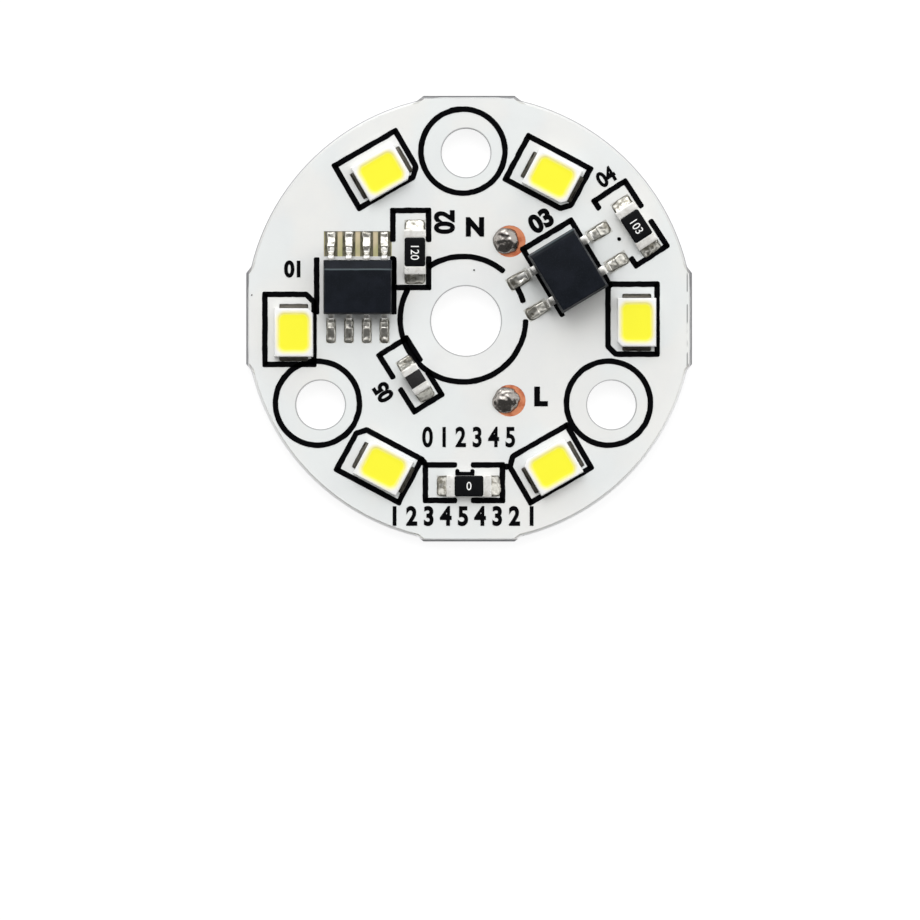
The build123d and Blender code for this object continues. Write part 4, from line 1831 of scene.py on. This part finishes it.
@dataclass
class PrintedOutlines:
    """The black print: rings round the holes, a frame round each component, two bars and some specks."""

    levels: Levels
    line: float = 0.4
    shift: Pair = (-0.22, 0.12)
    screw_r: float = 3.0
    centre_r: float = 4.48
    centre_gaps: tuple[Pair, ...] = ((0.0, 15.8), (32.6, 50.6), (124.5, 150.5))
    led_places: tuple[Triple, ...] = (
        (11.89, 0.12, 90.0),
        (5.85, 10.49, 152.0),
        (-6.34, 10.81, 210.0),
        (-12.61, -0.61, 270.0),
        (-6.20, -10.25, 332.0),
        (5.90, -10.22, 30.0),
    )
    borders: tuple[Border, ...] = (
        Border(5.5, 2.56, (-3.95, 5.13), 90.0, gaps=both(-0.5, 0.5)),
        Border(5.5, 2.62, (11.75, 6.96), -57.0, gaps=((-0.5, 0.52, Side.UPPER), (-2.0, 2.0, Side.LOWER))),
        Border(5.5, 2.54, (-0.15, -11.56), 0.0, gaps=both(-0.48, 0.5)),
        Border(4.75, 2.3, (-3.97, -3.86), -58.0, gaps=both(-0.38, 0.38)),
        Border(5.4, 4.0, (7.17, 3.83), -59.0, bare=((2.48, -1.85), (3.0, 1.85))),
    )
    bar_l: float = 4.1
    bars: tuple[Pair, ...] = ((-10.67, 2.5), (-5.15, 2.5))
    specks: tuple[Triple, ...] = (
        (-3.03, -10.09, 0.5),
        (2.88, -10.41, 0.45),
        (10.93, 5.84, 0.28),
        (0.57, 3.63, 0.13),
        (-15.3, 1.84, 0.12),
        # The last two specks and the black patch lie along the top edge of the link resistor's coat.
        (-0.62, -10.74, 0.32),
        (0.46, -10.74, 0.32),
    )
    black_patch_size: Pair = (1.38, 0.3)
    black_patch_at: Pair = (-0.08, -10.93)
    corner_round: float = 0.14
    end_round: float = 0.13
    bar_round: float = 0.09
    bar_parts: int = 12
    slice_l: float = 0.35

    def build(self) -> None:
        """Prints every outline and joins them."""
        places = [around(turn, SCREW_CIRCLE / 2, self.shift) for turn in SCREW_TURNS]
        parts = [self.ring(self.screw_r, at) for at in places]
        parts.append(self.centre_ring())
        leds = [Border(5.0, 3.5, (x, y), turn, mark=0.67) for x, y, turn in self.led_places]
        parts += [self.outline(border) for border in (*leds, *self.borders)]
        parts += [self.bar(at) for at in self.bars]
        parts += [self.flat(Bench("print").disc(width / 2, 12), (x, y)) for x, y, width in self.specks]
        parts.append(self.flat(Bench("print").sheet(*self.black_patch_size), self.black_patch_at))
        first, *rest = parts
        first.name = "printed_outlines"
        prints = first.join(*rest).lumps(0.5, 0.05, FLAT_WAYS).lumps(0.14, 0.03, FLAT_WAYS)
        prints.pick(Pick.FACES).extrude(0.0, 0.0, self.levels.ink - self.levels.mask)
        prints.outwards().deliver(InkFinish(), "ink", "legend_print")

    def flat(self, piece: Bench, at: Pair, turn: float = 0.0) -> Bench:
        """Lays a flat piece on the mask at a point, turned by degrees."""
        return piece.lay(stand(at, self.levels.mask, turn))

    def ring(self, radius: float, at: Pair) -> Bench:
        """One ring, still flat, with its line's radius and its centre.

        Args:
            radius: The radius of its line.
            at: Its centre.

        Returns:
            The bench.
        """
        ring = Bench("print").disc(radius + self.line / 2, 96)
        ring.pick(Pick.FACES).inset(self.line).edit(bpy.ops.mesh.delete, type="FACE")
        return self.flat(ring, at)

    def centre_ring(self) -> Bench:
        """The centre ring with its three gaps.

        Returns:
            The bench.
        """
        ring = self.ring(self.centre_r, self.shift)

        def gap(place: Vector, _: Vector) -> bool:
            """Whether a face lies in a gap."""
            angle = math.degrees(math.atan2(place.y - self.shift[1], place.x - self.shift[0])) % 360
            return any(start < angle < end for start, end in self.centre_gaps)

        ring.pick(Pick.FACES, gap).edit(bpy.ops.mesh.delete, type="FACE")
        return ring.ends().bevel(self.end_round, 3, points=True)

    def outline(self, border: Border) -> Bench:
        """One frame, still flat.

        Args:
            border: The frame's sizes and place.

        Returns:
            The bench.
        """
        length, width = border.length, border.width
        sheet = Bench("print").sheet(length + self.line, width + self.line)
        if border.mark:
            corner = (border.mark - (length + self.line) / 2, (width + self.line) / 2, 0.0)
            sheet.cut(corner, (-1.0, 1.0, 0.0))
        sheet.pick(Pick.POINTS).bevel(self.corner_round, 4, points=True)
        sheet.pick(Pick.FACES).inset(self.line).edit(bpy.ops.mesh.delete, type="FACE")
        for start, end, side in border.gaps:
            low, high = (0.0, width) if side is Side.UPPER else (-width, 0.0)
            sheet.clear((start, low), (end, high))
        if border.gaps:
            sheet.ends().bevel(self.end_round, 3, points=True)
        count = int(length / self.slice_l)
        sheet.slices((length, width), count)
        if border.bare:
            sheet.clear(*border.bare)
        return self.flat(sheet, border.at, border.turn)

    def bar(self, at: Pair) -> Bench:
        """One of the two bars beside the driver, still flat.

        Args:
            at: Its centre.

        Returns:
            The bench.
        """
        bar = Bench("print").sheet(self.line, self.bar_l)
        bar.pick(Pick.POINTS).bevel(self.bar_round, 3, points=True)
        return self.flat(bar.slices((0.0, self.bar_l), self.bar_parts), at)


@dataclass
class PrintedWords:
    """Terminal letters, plain position numbers and two rows of plain digits."""

    levels: Levels
    words: tuple[Lettering, ...] = (
        Lettering("mark_n", "N", 1.75, (0.64, 6.71), weight=0.1),
        Lettering("mark_l", "L", 1.75, (5.3, -5.4), weight=0.11, squeeze=1.05),
        Lettering("number_driver", "01", 1.55, (-12.29, 3.70), 0.0, 0.07, 0.9, 0.95),
        Lettering("number_sense", "02", 1.9, (-1.54, 7.06), 90.0, 0.085, 0.88, 0.98),
        Lettering("number_bridge", "03", 1.75, (5.36, 7.16), 31.0, 0.09, 0.98, 1.02),
        Lettering("number_bleed", "04", 1.5, (10.0, 10.27), 33.0, 0.06, 0.9, 0.98),
        Lettering("number_capacitor", "05", 1.5, (-5.93, -5.09), 122.0, 0.075, 0.9, 0.98),
        Lettering("scale_inner", "0 1 2 3 4 5", 1.95, (0.21, -8.3), weight=0.058, squeeze=0.78),
        Lettering("scale_outer", "1 2 3 4 5 4 3 2 1", 1.85, (-0.21, -13.94), weight=0.07, squeeze=0.85),
    )

    def build(self) -> None:
        """Prints every word as a piece of its own."""
        film = self.levels.ink - self.levels.mask
        for word in self.words:
            place = stand(word.at, self.levels.mask, word.turn)
            word.build(place, film).deliver(InkFinish(), "ink")


@dataclass(frozen=True)
class Lamp:
    """A square soft lamp that faces the board: its place and side in millimetres, and its power in watts."""

    name: str
    at: Triple
    side: float
    watts: float

    def build(self) -> None:
        """Hangs the lamp."""
        data = bpy.data.lights.new(self.name, "AREA")
        data.energy = self.watts
        data.size = self.side * MM
        lamp = bpy.data.objects.new(self.name, data)
        lamp.location = Vector(self.at) * MM
        lamp.rotation_euler = (-lamp.location).to_track_quat("-Z", "Y").to_euler()
        bpy.context.collection.objects.link(lamp)


@dataclass
class Studio:
    """Pale floor, even light with two soft lamps, and a long lens straight above."""

    look_x: float = -0.43
    look_y: float = -9.94
    view_w: float = 65.7
    board_top: float = 1.14
    camera_height: float = 900.0
    sensor: float = 36.0
    clip: Pair = (50.0, 20000.0)
    floor_size: float = 3000.0
    floor_drop: float = 0.02
    floor_grey: float = 0.2
    floor_glow: float = 0.87
    sky_light: float = 1.5
    strip_dark: float = 1.38
    lamps: tuple[Lamp, ...] = (
        Lamp("soft_box", (-60.0, 300.0, 330.0), side=260.0, watts=0.62),
        Lamp("side_fill", (330.0, -120.0, 260.0), side=240.0, watts=0.2),
    )

    def build(self) -> None:
        """Builds the camera, the floor, the world and the lamps."""
        self.camera()
        self.floor()
        self.world()
        for lamp in self.lamps:
            lamp.build()
        bpy.context.scene.view_settings.view_transform = "Standard"
        LOG.info("stage built")

    def camera(self) -> None:
        """Adds the camera, which looks straight down as the photograph does."""
        data = bpy.data.cameras.new("camera")
        data.sensor_width = self.sensor
        data.lens = self.sensor * (self.camera_height - self.board_top) / self.view_w
        data.clip_start, data.clip_end = (reach * MM for reach in self.clip)
        camera = bpy.data.objects.new("camera", data)
        camera.location = (self.look_x * MM, self.look_y * MM, self.camera_height * MM)
        bpy.context.collection.objects.link(camera)
        bpy.context.scene.camera = camera

    def floor(self) -> None:
        """Adds the floor, white to the camera, with the object's shadow kept."""
        bpy.ops.object.select_all(action="DESELECT")
        below = (0.0, 0.0, -self.floor_drop * MM)
        bpy.ops.mesh.primitive_plane_add(size=self.floor_size * MM, location=below)
        floor = bpy.context.object
        floor.name = "floor"
        material = bpy.data.materials.new("pale_floor")
        material.use_nodes = True
        recipe = Recipe(material.node_tree)
        grey = (self.floor_grey, self.floor_grey, self.floor_grey, 1.0)
        diffuse = recipe.node("ShaderNodeBsdfDiffuse", {}, {"Color": grey})
        glow = {"Color": WHITE, "Strength": recipe.seen() * self.floor_glow}
        both_shaders = {0: diffuse, 1: recipe.node("ShaderNodeEmission", {}, glow)}
        surface = recipe.node("ShaderNodeAddShader", {}, both_shaders)
        recipe.node("ShaderNodeOutputMaterial", {}, {"Surface": surface})
        floor.data.materials.append(material)

    def world(self) -> None:
        """Lights from the back and the sides, with a darker strip in front for metal to mirror."""
        world = bpy.data.worlds.new("studio")
        world.use_nodes = True
        bpy.context.scene.world = world
        recipe = Recipe(world.node_tree)
        side, along, high = recipe.parts(recipe.place("Generated"))
        strip = (1.0 - along.ease(-0.05, 0.32)) * (1.0 - abs(side).ease(0.65, 1.0)) * high.ease(0.05, 0.3)
        seen = recipe.seen()
        strength = seen + (1.0 - seen) * (self.sky_light - strip * self.strip_dark)
        sky = recipe.node("ShaderNodeBackground", {}, {"Color": WHITE, "Strength": strength})
        recipe.node("ShaderNodeOutputWorld", {}, {"Surface": sky})


def driver_chip(levels: Levels) -> GullWingChip:
    """The driver: four leads a side, with a bevel along the first pins' side.

    Args:
        levels: The board's levels.

    Returns:
        The driver.
    """
    seat = Seat.of("driver_body")
    width, draft, bevel_w, bevel_h = 3.9, 8.0, 0.6, 0.3
    parting = levels.seat + 0.75
    top = width / 2 - (seat.high - parting) * math.tan(math.radians(draft))
    return GullWingChip(
        name="driver",
        seat=seat,
        levels=levels,
        length=4.9,
        width=width,
        parting=parting,
        draft=draft,
        bevel_at=(0.0, top - bevel_w, seat.high),
        bevel_way=(0.0, bevel_h, bevel_w),
        pitch=1.27,
        lead_count=4,
        lead_w=0.42,
        lead_t=0.2,
        knee=0.24,
        slope_run=0.24,
        reach=3.0,
        pad_in=2.2,
        pad_out=4.0,
        pad_w=0.72,
        finish=MouldingFinish("driver_moulding", crease=(-7.73, 3.65), across=(0.0, 1.0)),
        necks=(0.5, 0.9),
    )


def bridge_chip(levels: Levels) -> GullWingChip:
    """The bridge rectifier: two leads a side, with a bevel along one end.

    Args:
        levels: The board's levels.

    Returns:
        The bridge.
    """
    seat = Seat.of("bridge_body", -59.0)
    length, draft, bevel_w, bevel_h = 4.85, 7.0, 0.22, 0.4
    parting = levels.seat + 1.15
    top = length / 2 - (seat.high - parting) * math.tan(math.radians(draft))
    return GullWingChip(
        name="bridge",
        seat=seat,
        levels=levels,
        length=length,
        width=3.85,
        parting=parting,
        draft=draft,
        bevel_at=(bevel_w - top, 0.0, seat.high),
        bevel_way=(-bevel_h, 0.0, bevel_w),
        pitch=2.54,
        lead_count=2,
        lead_w=0.62,
        lead_t=0.22,
        knee=0.42,
        slope_run=0.26,
        reach=3.4,
        pad_in=2.45,
        pad_out=4.2,
        pad_w=1.0,
        finish=MouldingFinish("bridge_moulding", crease=(5.76, 5.36), across=(0.515, -0.857)),
        necks=(0.85, 0.85),
    )


def resistor(name: str, turn: float, levels: Levels, code: str, code_turn: float = 0.0) -> EndCappedChip:
    """A chip resistor: the start of its nodes' names, its turn, and its value with the value's turn."""
    seat = Seat.of(f"{name}_core", turn)
    return EndCappedChip(name, seat, levels, coat=(2.06, 1.48), code=code, code_turn=code_turn)


def capacitor_chip(levels: Levels) -> EndCappedChip:
    """The chip capacitor, a smaller and thicker part with no coat.

    Args:
        levels: The board's levels.

    Returns:
        The capacitor.
    """
    return EndCappedChip(
        name="capacitor",
        seat=Seat.of("capacitor_core", -58.0),
        levels=levels,
        length=2.0,
        width=1.25,
        height=0.85,
        cap_l=0.5,
        cap_t=0.03,
        corner=0.09,
        core=DARK_CERAMIC,
        core_slot="layered_ceramic",
        pad_in=0.55,
        pad_out=1.75,
        pad_w=1.25,
    )


def main() -> None:
    """Builds the board's looks in order."""
    logging.basicConfig(level=logging.INFO, format="%(message)s")
    Studio().build()
    levels = Levels.read()
    dress(["base_plate"], PlateFinish())
    dress(["dielectric_layer"], DielectricFinish())
    dress(["copper_tracks", "driver_paddle", "bridge_clips"], CopperFinish())
    dress(["solder_mask"], MaskFinish())
    dress([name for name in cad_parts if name.endswith(("_dies", "_die"))], DieFinish())

    LedPackages(levels).build()
    driver_chip(levels).build()
    bridge_chip(levels).build()
    resistors = [
        resistor("sense_resistor", 90.0, levels, "120", 180.0),
        resistor("bleed_resistor", -57.0, levels, "103"),
        resistor("link_resistor", 0.0, levels, "0"),
    ]
    capacitor = capacitor_chip(levels)
    for chip in (*resistors, capacitor):
        chip.build()
    ChipSolder("resistor_joints", "resistor_solder", resistors, levels).build()
    ChipSolder("capacitor_joints", "capacitor_solder", [capacitor], levels).build()
    TerminalDome("neutral_drop", "neutral_solder", levels).build()
    TerminalDome("live_drop", "live_solder", levels).build()
    PrintedOutlines(levels).build()
    PrintedWords(levels).build()


if __name__ == "__main__":
    main()
